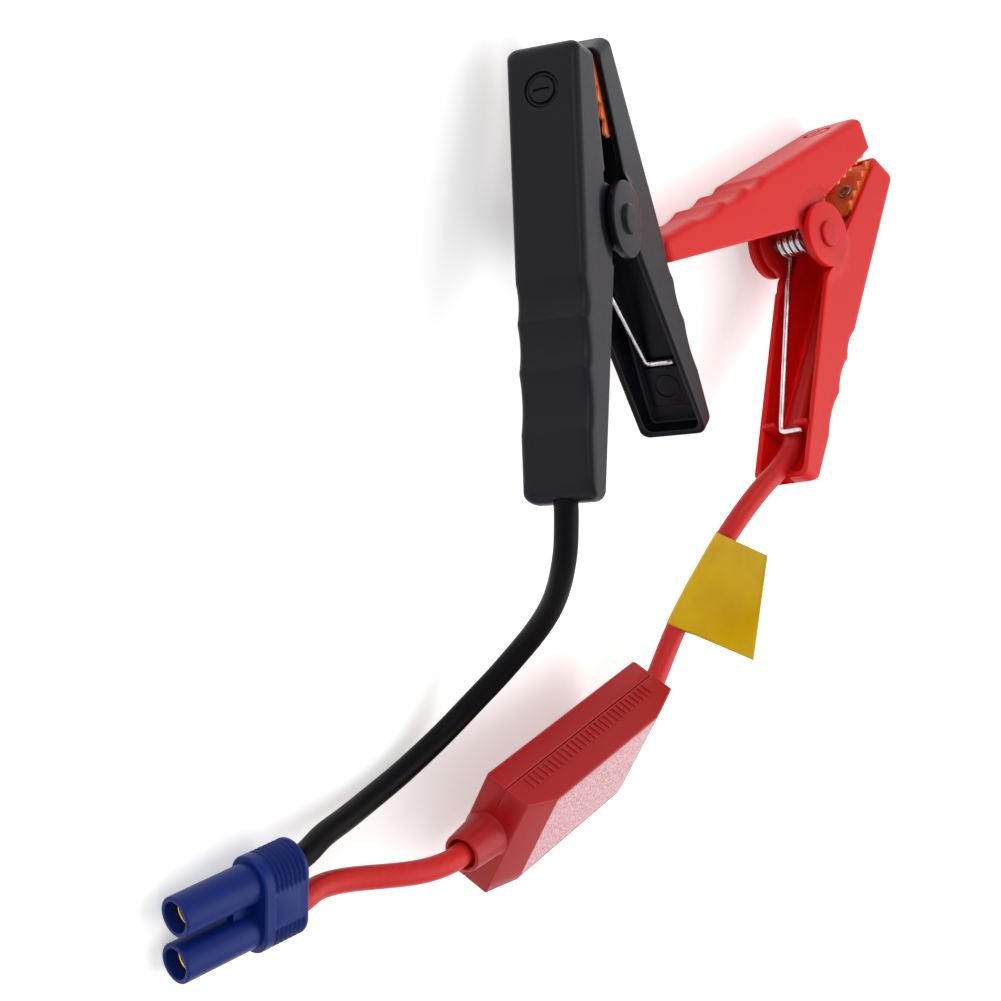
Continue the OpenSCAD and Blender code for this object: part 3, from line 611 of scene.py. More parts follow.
red_long, long_path = free_cable(
    "red_cable_to_clamp", "red_cable_long", mouth(BOX, BOX_L, AXIS_Y, AXIS_Z, 1), LONG_LAY,
    mouth(RED_HOLDER, RED_HOLD, CABLE_Y, 0, 1), RED_CABLE)


def lead(name, place, start, finish, y, z, mat, node):
    """A straight held length of cable with softly rounded ends."""
    x = np.array([start, start + 0.1, start + 0.3, start + 0.8, *np.linspace(start + 2, finish, 30)])
    r = CABLE_R - np.array([0.5, 0.25, 0.08, 0.0] + [0.0] * 30)
    stand_in(node, name, [loft(tube_rings(xyz(x, y, z), r, 28))], place, mat, smooth=60)


lead("black_held_cable", BLACK_HOLD, LEAD_END, HANDLE, CABLE_Y, 0, BLACK_CABLE, "black_lead")
lead("red_held_cable", RED_HOLDER, LEAD_END, RED_HOLD, CABLE_Y, 0, RED_CABLE, "red_lead")
lead("box_cable_near", BOX, 6, -BOSS_L, AXIS_Y, AXIS_Z, RED_CABLE, "box_lead_short")
lead("box_cable_far", BOX, BOX_L - 6, BOX_L, AXIS_Y, AXIS_Z, RED_CABLE, "box_lead_long")


# ---- clamp halves ----
def back_height(s):
    """The back's height at station s: flat, with three round hollows between
    the crests of the grip."""
    y = np.full_like(s, BACK)
    for low, high in zip(CRESTS, CRESTS[1:]):
        u = (s - (low + high) / 2) / ((high - low) / 2)
        y = np.where(np.abs(u) < 1, np.minimum(y, BACK - GROOVE * (1 - u * u)), y)
    return y


def wall_edge(s):
    """The height of the side wall's free edge at station s: straight from the
    tip to the jaw's end, to the pivot's far side, and on to the handle end."""
    depth = np.interp(s, (-JAW, JAW_RAMP, EAR_MEET, HANDLE), (TIP_DEPTH, JAW_DEPTH, EAR_DEPTH, END_DEPTH))
    return BACK - depth


def half_loop():
    """The outline of a half in plan: a long rectangle with round corners, as
    stations, side offsets and the share of each outward direction that runs
    along. Its second half is the first one turned half round."""
    r = 2.4
    long_side = np.linspace(-JAW + r, HANDLE - r, 150)
    turn = np.linspace(0, np.pi / 2, 9)[1:-1]
    short = np.linspace(-HALF_W + r, HALF_W - r, 14)
    s = np.concatenate([long_side, HANDLE - r + r * np.sin(turn), np.full_like(short, HANDLE),
                        HANDLE - r + r * np.cos(turn)])
    z = np.concatenate([np.full_like(long_side, -HALF_W), r - HALF_W - r * np.cos(turn), short,
                        HALF_W - r + r * np.sin(turn)])
    n = np.concatenate([np.zeros_like(long_side), np.sin(turn), np.ones_like(short), np.cos(turn)])
    return np.append(s, HANDLE - JAW - s), np.append(z, -z), np.append(n, -n)


def ear_swell(s, y, side):
    """How far the near wall swells out under the ear: full near the pivot,
    and smoothly down to nothing away from it."""
    away = smoothstep(np.hypot(s, y), *EAR_FADE)
    return np.where(side > HALF_W - 0.01, (EAR_TO - 0.5 - HALF_W) * (1 - away), 0.0)


def pad_swell(s, y, side):
    """How far the far wall is thickened inward behind its recess: a round
    pad with a soft edge."""
    away = smoothstep(np.hypot(s, y), PAD_R - 0.9, PAD_R + 0.1)
    return np.where(side < 0.01 - HALF_W, (HALF_W - WALL - INNER_EAR[0]) * (1 - away), 0.0)


def half_shell():
    """The moulded shell as one closed skin. Loops of the plan outline run
    from the middle of the back, over its round edge, down the wall, round
    the rim, up the inside and in over the channel floor."""
    s0, z0, n = half_loop()
    mid, half = (HANDLE - JAW) / 2, (HANDLE + JAW) / 2
    side_r, end_r, floor_r, rim = 2.0, np.where(s0 > mid, 4.5, 3.0), 0.6, 0.35
    round_r = side_r + (np.where(n > 0, 4.5, 3.0) - side_r) * n * n
    wall = np.where(n < 0, WALL + (TIP_WALL - WALL) * n * n, WALL)
    edge = wall_edge(s0)
    low = edge + rim
    rows = []

    def ring(inset_s, inset_z, y):
        """The plan outline drawn in, with its heights."""
        s = mid + (s0 - mid) * (half - inset_s) / half
        z = z0 * (HALF_W - inset_z) / HALF_W
        return s, z, (y(s) if callable(y) else np.broadcast_to(y, s.shape))

    def fan(loop, steps, height):
        """Loops between one loop and its middle line."""
        spine = np.clip(loop[0], 9 - JAW, HANDLE - 10)
        for k in steps:
            s = spine + (loop[0] - spine) * k
            rows.append((s, loop[1] * k, height(s)))

    def swelled(inset, y, swell):
        """One loop of the wall with its swell added."""
        s, z, y = ring(inset, inset, y)
        rows.append((s, z + swell(s, y, z0), y))

    fan(ring(end_r, side_r, back_height), np.linspace(0, 1, 7)[:-1], back_height)
    for q in np.linspace(0, np.pi / 2, 8):
        inset = 1 - np.sin(q)
        s, z, y = ring(end_r * inset, side_r * inset, back_height)
        rows.append((s, z, y - round_r * (1 - np.cos(q))))
    top = rows[-1][2]
    for k in np.linspace(0, 1, 17)[1:]:
        swelled(0, top + (low - top) * k, ear_swell)
    for q in np.array([0.3, 0.65, 1.0]) * np.pi / 2:
        swelled(rim * (1 - np.cos(q)), edge + rim * (1 - np.sin(q)), ear_swell)
    for q in np.array([0.0, 0.35, 0.7, 1.0]) * np.pi / 2:
        swelled(wall - rim * (1 - np.sin(q)), edge + rim * (1 - np.cos(q)), pad_swell)
    for k in np.linspace(0, 1, 17)[1:]:
        swelled(wall, low + (FLOOR - floor_r - low) * k, pad_swell)
    for q in np.array([0.33, 0.66, 1.0]) * np.pi / 2:
        inset = wall + floor_r * (1 - np.cos(q))
        rows.append(ring(inset, inset, FLOOR - floor_r * (1 - np.sin(q))))
    fan(rows[-1], np.linspace(1, 0, 5)[1:], lambda s: np.full_like(s, FLOOR))
    points, faces = loft([xyz(s, y, z) for s, z, y in rows])
    return points, faces[:-2]


def plate(x, y, z_low, z_high, r):
    """A flat plate with a rounded rim: loops of its outline run from the
    middle out over one face, round the rim and back."""
    middle = (y.max() + y.min()) / 2
    reach = np.hypot(x, y - middle)

    def ring(inset, z):
        """The outline drawn in towards the middle, at one height."""
        k = (reach - inset) / reach
        return xyz(x * k, middle + (y - middle) * k, z)

    near, far = round_ends(z_low, z_high, r, 5)
    inner = [ring(reach * (1 - k), z_low) for k in (0.05, 0.5)]
    outer = [ring(reach * (1 - k), z_high) for k in (0.5, 0.05)]
    return loft(inner + [ring(inset, z) for inset, z in near + far] + outer)


def inner_plate(top=9.0):
    """The inner ear: a half disc with straight sides up into the wall."""
    t = np.linspace(np.pi, 2 * np.pi, 41)
    x = np.concatenate([INNER_R * np.cos(t), np.full(12, INNER_R),
                        np.linspace(INNER_R, -INNER_R, 14)[1:-1], np.full(12, -INNER_R)])
    y = np.concatenate([INNER_R * np.sin(t), np.linspace(0, top, 13)[1:], np.full(12, top),
                        np.linspace(top, 0, 13)[:-1]])
    return plate(x, y, 0.04 - INNER_EAR[1], -INNER_EAR[0], 0.3)


def outer_disc():
    """The outer ear: a full disc with a soft rim."""
    t = np.linspace(0, 2 * np.pi, 96, endpoint=False)
    return plate(EAR_R * np.cos(t), EAR_R * np.sin(t), EAR_FROM, EAR_TO, 0.4)


def cap_profile():
    """The blind cap: a low round button with a soft edge."""
    t = np.linspace(0, np.pi / 2, 6)
    edge = [(EAR_TO + CAP_H - 0.5 + 0.5 * math.sin(a), CAP_R - 0.5 + 0.5 * math.cos(a)) for a in t]
    return [(EAR_TO - 0.6, 0.01), (EAR_TO - 0.6, CAP_R + 0.1), (EAR_TO + 0.02, CAP_R + 0.1),
            (EAR_TO + 0.15, CAP_R)] + edge + [(EAR_TO + CAP_H, 1.4), (EAR_TO + CAP_H - 0.05, 0.01)]


def sign_cutter(s, plus, mean_r=3.5, depth=0.75, bar=0.36):
    """The tools that engrave a pole sign in the back: a round ring with a
    bar, or a cross."""
    t = np.linspace(0, 2 * np.pi, 72, endpoint=False)
    radial = xyz(np.cos(t), 0, np.sin(t))[:, None]
    a = np.linspace(0, 2 * np.pi, 14, endpoint=False)[:, None]
    section = 0.62 * np.cos(a) * radial + 0.85 * np.sin(a) * np.array([0, 1, 0])
    yield loft(np.array([s, BACK + 0.05, 0]) + mean_r * radial + section, wrap=True)
    middle = np.array([s, BACK, 0])
    for size in ([(2.0, depth, bar)] if plus else []) + [(bar, depth, 2.0)]:
        yield block(middle - size, middle + size, 0.12, axis=1)


def carve_half(obj, cable, plus):
    """Cuts the round recess of the far wall, room for the other half's ear
    under the near one, the pole sign and the arch that a cable leaves by."""
    flare = [(-EAR_TO, 0.01), (-EAR_TO, RECESS_R + 0.4), (-8.5, RECESS_R + 0.4), (-8.2, RECESS_R),
             (-INNER_EAR[1], RECESS_R), (-INNER_EAR[1], 0.01)]
    cut(obj, [lathe(flare, 96, axis="z")], ROW)
    ease = [(INNER_EAR[0] - 1.0, 0.01), (INNER_EAR[0] - 1.0, EAR_R + 0.5), (EAR_FROM, EAR_R + 0.5),
            (EAR_FROM, 0.01)]
    cut(obj, [lathe(ease, 72, axis="z")], ROW)
    for tool in sign_cutter(SIGN_S, plus):
        cut(obj, [tool], ROW)
    if cable:
        t = np.linspace(0, np.pi, 25)
        below = [CABLE_Y - 12.0]
        y = np.concatenate([below, CABLE_Y + ARCH_R * np.sin(t), below])
        z = np.concatenate([[ARCH_R], ARCH_R * np.cos(t), [-ARCH_R]])
        cut(obj, [loft([xyz(x, y, z) for x in (HANDLE - WALL - 1.5, HANDLE + 2)])], ROW)


def half_trim(cable):
    """What stands in or on a shell: ears, cap and rivet post, and either the
    two ribs beside the cable or the pad with its ring."""
    post = [(SEAT, 0.01), (SEAT, POST_R - 0.3), (SEAT + 0.3, POST_R), (FLOOR + 0.3, POST_R),
            (FLOOR + 0.3, 0.01)]
    parts = [inner_plate(), outer_disc(), lathe(cap_profile(), 56, axis="z"),
             lathe(post, 40, at=(RIVET_S, 0, 0), axis="y")]
    if cable:
        near, inner, outer = CABLE_BAR[0] - WIRE_R, CABLE_R + 0.5, HALF_W - WALL + 0.1
        for low, high in ((inner, outer), (-outer, -inner)):
            parts.append(block((near - 1.5, FLOOR - 8.5, low), (near - 0.3, FLOOR + 0.1, high)))
    else:
        near = LEVER_BAR[0]
        parts.append(block((near + 1.4, FLOOR - 0.8, -5), (near + 12.4, FLOOR + 0.1, 5)))
        ring = [(FLOOR - 1.1, 2.9), (FLOOR - 1.1, 3.3), (FLOOR - 0.6, 3.4), (FLOOR - 0.6, 2.8)]
        parts.append(lathe(ring, 40, at=(near + 6.9, 0, 0), axis="y"))
    return parts


def clamp_half(name, place, body):
    """One moulding, made round the pivot and then put in its place."""
    cable, red = name.endswith("cable_half"), name.startswith("red")
    obj = build(name + "_moulding", [half_shell()], ROW)
    carve_half(obj, cable, red)
    mesh = join(obj, half_trim(cable), ROW, [RED_PLASTIC if red else BLACK_PLASTIC])
    mesh.transform(place.matrix())
    shade(mesh, 40)
    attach(obj, body)
    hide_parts(name)


for half_name, (half_place, half_body) in HALVES.items():
    clamp_half(half_name, half_place, half_body)


# ---- jaw plates ----
def tooth_wave(s):
    """The height of the toothed edge over the plastic: round teeth at the
    tooth pitch."""
    phase = (s - JAW_FRONT) / PITCH
    return TOOTH * (0.5 - 0.5 * np.cos(2 * np.pi * phase)) ** 0.75


def jaw_plate():
    """A folded copper plate: two toothed flanges, each a thin strip with a
    rounded edge, the web between them and its tongue, each a closed skin."""
    s = np.linspace(JAW_FRONT, JAW_FRONT + PLATE_LEN, 140)
    toothed = np.floor(PLATE_LEN / PITCH) * PITCH
    edge = wall_edge(s) + 0.1 - np.where(s - JAW_FRONT < toothed, tooth_wave(s), 0.0)
    top, r, parts = SEAT - 1.0, 0.22, []
    for side in (1, -1):
        a, b = side * (FLANGE_Z - PLATE), side * FLANGE_Z
        cols = [(a, top), (a, edge + r), (a + side * r * 0.3, edge + r * 0.3), (a + side * r, edge),
                (b - side * r, edge), (b - side * r * 0.3, edge + r * 0.3), (b, edge + r), (b, top)]
        parts.append(loft(np.stack([xyz(s, y, z) for z, y in cols], 1)))
    t = np.linspace(0, np.pi / 2, 6)
    out, low = FLANGE_Z - 1.0, SEAT - 1.05
    fold, inner = ([(out + k * math.sin(a), low + k * math.cos(a)) for a in t] for k in (1, 0.1))
    half = fold + [(FLANGE_Z, SEAT - 1.4), (FLANGE_Z - PLATE, SEAT - 1.4)] + inner[::-1]
    z, y = np.array(half + [(-z, y) for z, y in half[::-1]]).T
    end = JAW_FRONT + WEB_LEN
    parts.append(loft([xyz(x, y, z) for x in np.linspace(JAW_FRONT, end, 30)]))
    parts.append(block((end - 1, SEAT - 0.05 - PLATE, -3), (end + 4.2, SEAT - 0.05, 3), 0.3))
    return parts


def rivet():
    """The hollow rivet of one jaw: a shank into the post and a domed head
    with an open middle."""
    low = SEAT - 0.05 - PLATE
    profile = [(FLOOR + 0.9, 0.01), (FLOOR + 0.9, 1.15), (low, 1.15), (low, 2.15), (low - 0.35, 2.1),
               (low - 0.65, 1.8), (low - 0.75, 1.5), (low - 0.7, 1.15), (low - 0.4, 1.0),
               (SEAT + 0.6, 0.95), (SEAT + 0.6, 0.01)]
    return [lathe(profile, 48, at=(RIVET_S, 0, 0), axis="y")]


for kind, suffix, shape, finish in (("jaw", "_plate", jaw_plate, COPPER), ("rivet", "_hollow", rivet, RIVET)):
    for half_name, (half_place, half_body) in HALVES.items():
        node_name = half_name.replace("half", kind)
        stand_in(node_name, node_name + suffix, shape(), half_place, finish, half_body)


# ---- springs ----
def spring_path(near, far, near_span, far_span):
    """The wire's middle line: a cross bar, a straight leg to the coil, the
    coil rising at a steady pitch, and the other leg and bar. Each leg leaves
    the coil on its own half's side."""
    def aim(p, side):
        """The angle at which a leg from p touches the coil."""
        return math.degrees(math.atan2(p[1], p[0]) + side * math.acos(COIL_R / np.linalg.norm(p)))

    start, raw = aim(near, 1), aim(far, -1)
    stop = raw + 360 * math.ceil((start + COIL_TURN - raw) / 360)
    rise = COIL_PITCH * (stop - start) / 360
    a = np.radians(np.linspace(start, stop, 140))
    coil = xyz(COIL_R * np.cos(a), COIL_R * np.sin(a), COIL_SHIFT + rise * np.linspace(-0.5, 0.5, 140))

    def arm(p, span, coil_end):
        """The straight bar from its free end, a round hook and the leg."""
        along = np.sign(span[1] - span[0])
        corner = np.array([*p, span[0]])
        bar = xyz(p[0], p[1], np.linspace(span[1], span[0] + 2.2 * along, 6))
        q = np.linspace(0, 1, 8)[:, None]
        first, last = corner + np.array([0, 0, HOOK * along]), corner + unit(coil_end - corner) * HOOK
        hook = (1 - q) ** 2 * first + 2 * q * (1 - q) * corner + q ** 2 * last
        leg = corner + (coil_end - corner) * np.linspace(0, 1, 16)[3:-1, None]
        return np.concatenate([bar, hook, leg])

    return np.concatenate([arm(near, near_span, coil[0]), coil, arm(far, far_span, coil[-1])[::-1]])


def spring(clamp, place, lever_first):
    """A torsion spring between the two halves. Its near bar lies in the half that ONE turns, its far bar in
    the other."""
    bars = [(LEVER_BAR, LEVER_SPAN), (CABLE_BAR, CABLE_SPAN)]
    (near, near_span), (far, far_span) = bars if lever_first else bars[::-1]
    path = spring_path((ONE @ [*near, 0])[:2], (OTHER @ [*far, 0])[:2], near_span, -far_span)
    radius = np.full(len(path), WIRE_R)
    radius[[0, -1]] = WIRE_R * 0.72
    wire = loft(tube_rings(path, radius, 14, first=(1.0, 0.2, 0.0)))
    obj = stand_in(clamp + "_spring", clamp + "_spring_wire", [wire], place, ZINC, None, 60)
    across = np.array([0.0, 3.3, 0.0])
    ends = [tuple(place(-across)), tuple(place(across))]
    if not lever_first:
        ends.reverse()
    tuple(ends[0])
    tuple(ends[1])
    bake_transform(obj)


# ---- diode box ----
def shrink(outline, inset):
    """A convex outline moved inward by the same distance on every side."""
    p = np.asarray(outline, float)
    d = unit(np.roll(p, -1, 0) - p)
    n = np.stack([-d[:, 1], d[:, 0]], -1)
    q = p + n * inset
    d0, q0 = np.roll(d, 1, 0), np.roll(q, 1, 0)
    cross = d0[:, 0] * d[:, 1] - d0[:, 1] * d[:, 0]
    w = q - q0
    k = (w[:, 0] * d[:, 1] - w[:, 1] * d[:, 0]) / cross
    return q0 + d0 * k[:, None]


def soften(outline, radii, steps=5):
    """Round corners: each corner becomes an arc that touches both sides."""
    p = np.asarray(outline, float)
    made = []
    for a, b, c, r in zip(np.roll(p, 1, 0), p, np.roll(p, -1, 0), radii):
        u, v = unit(a - b), unit(c - b)
        half = math.acos(float(np.clip(u @ v, -1, 1))) / 2
        middle = b + unit(u + v) * r / math.sin(half)
        m, q = b + u * r / math.tan(half) - middle, b + v * r / math.tan(half) - middle
        k = np.linspace(0, 1, steps)[:, None]
        made.append(middle + unit(m * (1 - k) + q * k) * r)
    return np.concatenate(made)


def prism(outline, radii, low, high, edge, ceiling=None):
    """An outline carried across the box, drawn in by a quarter circle at
    both ends. A ceiling limits its height at each station."""
    near, far = round_ends(low, high, edge, 5)
    sides = [(0.0, z) for z in np.linspace(low + edge, high - edge, 16)[1:-1]]
    rings = []
    for inset, z in near + sides + far:
        ring = soften(shrink(outline, inset), [max(r - inset, 0.05) for r in radii])
        if ceiling is not None:
            ring = np.minimum(ring, [1e3, ceiling(z) - inset])
        rings.append(xyz(ring[:, 0], ring[:, 1], z))
    return loft(rings)


def boss_half(upper):
    """Half of the cable boss: its wall section carried round half a turn."""
    profile = [(0.6, 3.2), (0.6, 6.2), (-0.2, 5.9), (-1.0, 5.45), (-BOSS_L + 0.9, 4.75),
               (-BOSS_L + 0.25, 4.6), (-BOSS_L, 4.25), (-BOSS_L, 3.9), (-BOSS_L + 0.3, 3.6),
               (-BOSS_L + 2.6, 3.4), (-BOSS_L + 3.0, 2.82), (0.6, 2.8)]
    tilt = math.asin((AXIS_Y - SEAM) / 4.4)
    t = np.linspace(-tilt, np.pi + tilt, 44) if upper else np.linspace(np.pi + tilt, 2 * np.pi - tilt, 44)
    along, r = np.array(profile).T
    return loft(xyz(along, AXIS_Y + np.sin(t)[:, None] * r, AXIS_Z + np.cos(t)[:, None] * r))


def box_ceiling(z):
    """The height of the lid across the box: level, with a bevel at the far
    side."""
    return BOX_TOP - max(0.0, z - (BOX_W - 2.8))


def box_shell(node, outline, radii, ceiling, ribs):
    """One moulded shell, hollow inside, with its half of the cable boss, the ribs that stand on it and the
    spark textured panel on its top, with painted glints."""
    wall, end = BOX_WALL, BOX_L - BOX_WALL
    cavity = [(wall, wall), (end, wall), (end, BOX_END - wall), (54, BOX_TOP - wall), (8, BOX_TOP - wall),
              (wall, BOX_END - wall)]
    obj = build(node + "_moulding", [prism(outline, radii, 0, BOX_W, 0.55, ceiling)], BOX, smooth=30)
    cut(obj, [prism(cavity, (0.4,) * 6, wall, BOX_W - wall, 0.3)], BOX, 30)
    start, stop, r = -BOSS_L - 1, BOX_L + 1, CABLE_R + 0.05
    bore = [(start, 0.01), (start, r), (stop, r), (stop, 0.01)]
    cut(obj, [lathe(bore, 48, at=(0, AXIS_Y, AXIS_Z))], BOX, 30)
    mesh = join(obj, [boss_half(node == "box_upper_shell")] + ribs, BOX, [BOX_PLASTIC, PANEL])
    normal, centre = np.empty((2, len(mesh.polygons) * 3))
    mesh.polygons.foreach_get("normal", normal)
    mesh.polygons.foreach_get("center", centre)
    normal = normal.reshape(-1, 3) @ BOX.turn
    centre = (centre.reshape(-1, 3) / MM - BOX.at) @ BOX.turn
    raised = (normal[:, 1] > 0.995) & (centre[:, 1] > BOX_TOP - 0.15)
    mesh.polygons.foreach_set("material_index", raised.astype(int))
    shade(mesh, 30)
    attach(obj, "root")
    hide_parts(node)


def dress_box():
    """Both shells, a fine gap apart at the seam."""
    low, high = SEAM - 0.035, SEAM + 0.035
    box_shell("box_lower_shell", [(0, 0), (BOX_L, 0), (BOX_L, low), (0, low)], (0.9, 0.9, 0.1, 0.1), None, [])
    upper = [(0, high), (BOX_L, high), (BOX_L, BOX_END), (BOX_L - 9, BOX_TOP - 0.9), (54, BOX_TOP),
             (8, BOX_TOP), (0, BOX_END)]
    ribs = [block((6 + 2.08 * i, 6.5, -0.3), (6.7 + 2.08 * i, 9.9, 0.4), 0.14) for i in range(27)]
    box_shell("box_upper_shell", upper, (0.1, 0.1, 0.5, 3.0, 1.0, 0.6, 0.5), box_ceiling, ribs)


dress_box()


# ---- plug ----
def stadium(height):
    """A stadium outline round both tube axes, from its middle line: half
    circles of the given height, 96 points."""
    t = np.linspace(-np.pi / 2, np.pi / 2, 30)
    flat = np.linspace(TUBE_GAP, 0, 20)[1:-1]
    side = np.full_like(flat, height)
    y = np.concatenate([TUBE_GAP + height * np.cos(t), flat, -height * np.cos(t), flat[::-1]])
    z = np.concatenate([height * np.sin(t), side, -height * np.sin(t), -side])
    return y, z


def collar():
    """The grip collar: the stadium carried along the plug, with round ends
    and grip grooves that fade out over the flat panel. Each station has an
    inset all round and a groove depth."""
    back_r, front_r, pitch, last, depth = 0.8, 0.5, 1.2, 9.6, 0.6
    x = np.linspace(back_r, COLLAR_L - front_r, 120)
    wave = (0.5 - 0.5 * np.cos(2 * np.pi * (x - pitch) / pitch)) ** 0.7
    groove = np.where((x > pitch) & (x < last), wave, 0.0)
    stations = [(inset, s, 0.0) for inset, s in round_ends(0, COLLAR_L, back_r, 6)[0]]
    stations += [(0.0, s, g) for s, g in zip(x, groove)]
    stations += [(inset, s, 0.0) for inset, s in round_ends(0, COLLAR_L, front_r, 6)[1][1:]]
    y, z = stadium(COLLAR_R)
    aside = smoothstep(np.abs(y - TUBE_GAP / 2), 4.2, 4.9)
    near = np.clip(y, 0, TUBE_GAP)
    rings = []
    for inset, s, g in stations:
        k = (COLLAR_R - inset - depth * g * aside) / COLLAR_R
        rings.append(xyz(s, near + (y - near) * k, z * k))
    return loft(rings)


def tube_profile(bore=3.32):
    """A connector tube: outside, round mouth rim, bore and inner end."""
    quarter = np.linspace(0, np.pi / 2, 6)
    rim = [(PLUG_L - 0.45 + 0.45 * math.sin(a), TUBE_R - 0.45 + 0.45 * math.cos(a)) for a in quarter]
    lip = [(PLUG_L - 0.3 + 0.3 * math.cos(a), bore + 0.3 - 0.3 * math.sin(a))
           for a in np.linspace(0, np.pi / 2, 5)]
    return ([(5.0, bore - 0.1), (5.0, TUBE_R), (COLLAR_L, TUBE_R)] + rim + lip
            + [(PLUG_L - 3.2, bore), (PLUG_L - 4.0, bore - 0.1)])


def contact_profile():
    """A brass contact: a tube with a chamfered mouth, a blind bore and a
    solder barrel."""
    end = PLUG_L - 3.0
    return [(0.2, 0.01), (0.2, 2.7), (4.4, 2.72), (4.4, 3.15), (5.0, 3.2), (end - 0.4, 3.2), (end, 2.95),
            (end, 2.75), (end - 0.3, 2.5), (PLUG_L - 19.0, 2.5), (PLUG_L - 19.6, 0.01)]


def dress_plug():
    """The blue housing and its two contacts."""
    middle, top = TUBE_GAP / 2, COLLAR_R + 0.02
    parts = [collar()] + [lathe(tube_profile(), 56, at=(0, y, 0)) for y in (0, TUBE_GAP)]
    parts.append(block((COLLAR_L - 0.5, 1.5, -1.2), (COLLAR_L + 5, TUBE_GAP - 1.5, 1.2), 0.3))
    parts.append(block((2.6, middle - 3.6, COLLAR_R - 0.5), (9.2, middle + 3.6, top), 0.2))
    stand_in("plug_housing", "plug_housing_moulding", parts, PLUG, BLUE_PLASTIC, smooth=35)
    for name, y in (("contact_negative", 0), ("contact_positive", TUBE_GAP)):
        stand_in(name, name + "_tube", [lathe(contact_profile(), 48, at=(0, y, 0))], PLUG, BRASS)


dress_plug()
spring("black", BLACK, True)
spring("red", RED, False)


# ---- cable flag ----
FLAG_AT, FLAG_UP = in_set((71.0, 439.9, 11.6)), np.array([0.334, 0.136, 0.933])
FLAG_STATIONS = (1.0, 28.4)
FLAG_CORNERS = ((-8.0, 22.5, 0.47), (33.3, 22.0, 3.0))
FILM, FILM_GAP, GLUE_TO = 0.1, 0.12, 8.6


def flag_section(r, height, lap):
    """The film's path across the cable, as (across, above) pairs: down the
    first leaf, which touches the cable's side, round under it and part way
    over, then in a smooth cubic curve to the second leaf, glued to the first."""
    leaf = np.linspace(1, 0, 24)
    wrap = np.linspace(np.pi, 2 * np.pi + np.radians(50), 48)[1:]
    out = np.array([np.cos(wrap[-1]), np.sin(wrap[-1])])
    start, end = r * out, np.array([lap - r, GLUE_TO])
    away, back = start + 3.4 * np.array([-out[1], out[0]]), end - (0, 3.6)
    t = np.linspace(0, 1, 20)[1:, None]
    bend = (1 - t) ** 3 * start + 3 * t * (1 - t) ** 2 * away + 3 * t * t * (1 - t) * back + t ** 3 * end
    rise = np.linspace(GLUE_TO, height, 18)[1:]
    across = np.concatenate([0 * leaf - r, r * np.cos(wrap), bend[:, 0], 0 * rise + lap - r])
    above = np.concatenate([height * leaf, r * np.sin(wrap), bend[:, 1], rise])
    return across, above


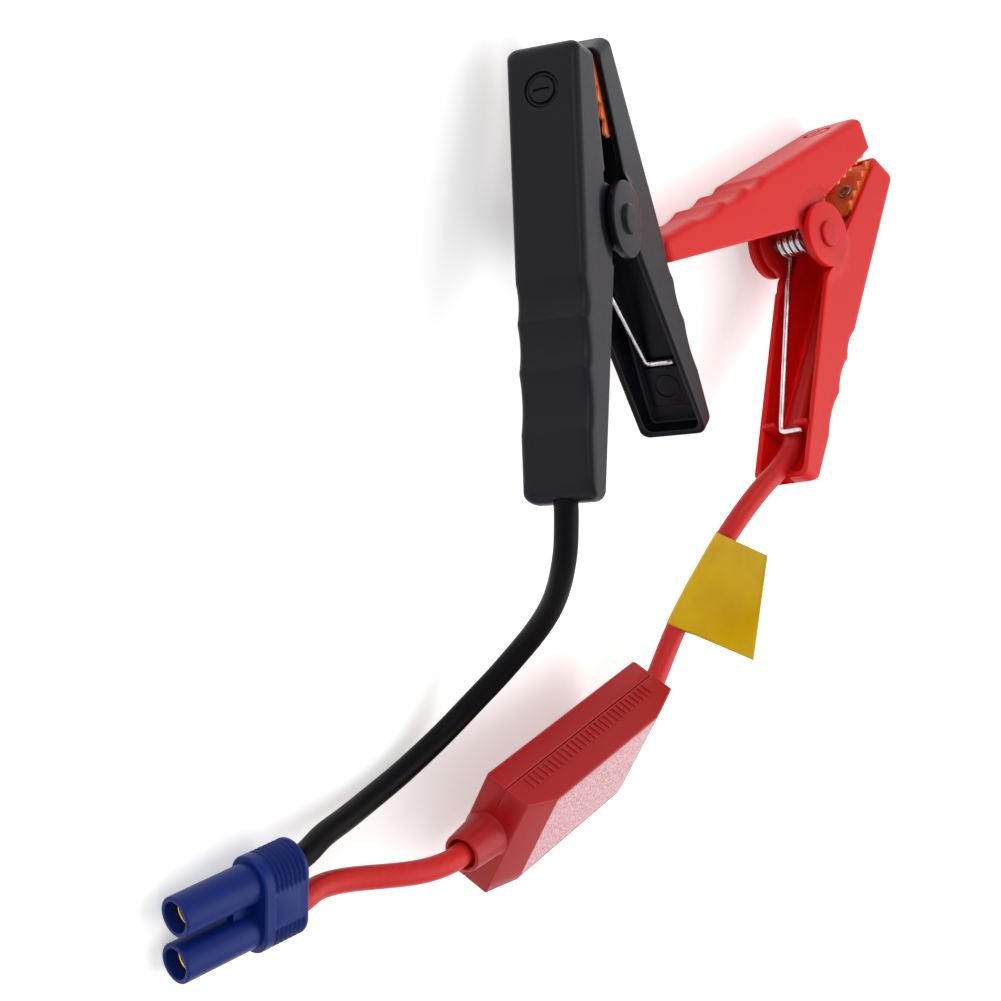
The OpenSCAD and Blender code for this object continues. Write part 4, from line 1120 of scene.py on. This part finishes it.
def flag():
    """A label folded round the cable, its two leaves glued together. The free
    edge is a straight line between its corners, each given by its lean in
    degrees, its height and its shift along. At every station the leaf runs
    from its touch with the cable to that line."""
    arc = run(long_path)
    first = arc[np.argmin(np.linalg.norm(long_path - FLAG_AT, axis=1))]
    stations = first + np.linspace(*FLAG_STATIONS, 40)
    centre = np.stack([np.interp(stations, arc, long_path[:, k]) for k in range(3)], -1)
    tangent = unit(np.gradient(centre, axis=0))
    e = unit(FLAG_UP - (tangent @ FLAG_UP)[:, None] * tangent)
    n = np.cross(tangent, e)
    r = CABLE_R + FILM_GAP
    corners = []
    for k, (lean, height, skew) in zip((0, -1), FLAG_CORNERS):
        out = math.cos(math.radians(lean)) * e[k] - math.sin(math.radians(lean)) * n[k]
        corners.append(centre[k] + height * out + skew * tangent[k] - r * np.cross(tangent[k], out))
    reach = corners[0] + (corners[1] - corners[0]) * np.linspace(0, 1, len(e))[:, None] - centre
    skew = (reach * tangent).sum(1)
    reach -= skew[:, None] * tangent
    height = np.sqrt((reach ** 2).sum(1) - r * r)
    e = unit(reach)
    n = np.cross(tangent, e)
    turn = np.arctan2(r, height)[:, None]
    e, n = np.cos(turn) * e + np.sin(turn) * n, np.cos(turn) * n - np.sin(turn) * e
    sections = [flag_section(r, h, FILM_GAP + 0.04) for h in height]
    flat = max(np.hypot(np.diff(u), np.diff(v)).sum() for u, v in sections)
    across, above = (np.array([pair[k] for pair in sections]) for k in (0, 1))
    along = skew[:, None] * np.clip(above / height[:, None], 0, 1)
    grid = (centre[:, None] + across[..., None] * n[:, None] + above[..., None] * e[:, None]
            + along[..., None] * tangent[:, None])
    rows, cols = grid.shape[:2]
    i, k = np.arange(rows - 1)[:, None], np.arange(cols - 1)[None, :]
    quads = np.stack([i * cols + k, i * cols + k + 1, (i + 1) * cols + k + 1, (i + 1) * cols + k], -1)
    film = (grid.reshape(-1, 3), quads.reshape(-1, 4).tolist())
    obj = build("cable_flag_film", [film], ROW, FLAG, "root", weld=False)
    mod = obj.modifiers.new("film", "SOLIDIFY")
    mod.thickness = FILM * MM
    mod.offset = 0.0
    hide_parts("cable_flag")


flag()


# ---- carried over solids ----
KEPT = {
    "black_pin": STEEL, "red_pin": STEEL, "black_lug": COPPER, "red_lug": COPPER,
    "box_board": BOARD, "box_diodes": DIODE,
}
for node_name, material in KEPT.items():
    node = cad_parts[node_name]
    for k in range(len(node.material_slots)):
        node.material_slots[k].material = material


# ---- studio ----
def seen_directly(n):
    """1 for rays from the camera, in a mirror or through glass, else 0."""
    seen = n.add("ShaderNodeLightPath").outputs
    through = n.maths("MAXIMUM", seen["Is Glossy Ray"], seen["Is Transmission Ray"])
    return n.maths("MAXIMUM", seen["Is Camera Ray"], through)


def studio():
    """A pale floor that shows white to the camera and keeps its shadows, one
    broad lamp overhead and a weak one beside the camera."""
    size = 3.0
    corners = [(-size, -size, 0), (size, -size, 0), (size, size, 0), (-size, size, 0)]
    mesh = bpy.data.meshes.new("floor")
    mesh.from_pydata(corners, [], [(0, 1, 2, 3)])
    floor = put("floor", mesh)
    floor.location.z = -0.0002
    mat, n, p = shader("floor_white")
    n.fill(p, Base_Color=(0.9, 0.9, 0.9, 1), Roughness=0.7, Specular_IOR_Level=0.1,
           Emission_Color=(1, 1, 1, 1), Emission_Strength=n.maths("MULTIPLY", seen_directly(n), 0.42))
    mesh.materials.append(mat)
    world = bpy.data.worlds.new("studio")
    bpy.context.scene.world = world
    world.use_nodes = True
    n = Nodes(world.node_tree)
    n.fill(world.node_tree.nodes["Background"], Color=(1, 1, 1, 1),
           Strength=n.spread(seen_directly(n), 0.0, 1.0, 0.6, 0.95))
    for name, where, power, width in (
            ("behind", (0.1, 0.6, 1.0), 8.5, 1.2), ("beside", (-0.6, -0.7, 0.5), 1.5, 0.6)):
        light = bpy.data.lights.new(name, "AREA")
        light.energy = power
        light.shape = "SQUARE"
        light.size = width
        obj = put(name, light)
        obj.location = where
        obj.rotation_euler = (-Vector(where)).to_track_quat("-Z", "Y").to_euler()
    bpy.context.scene.view_settings.view_transform = "Standard"


studio()
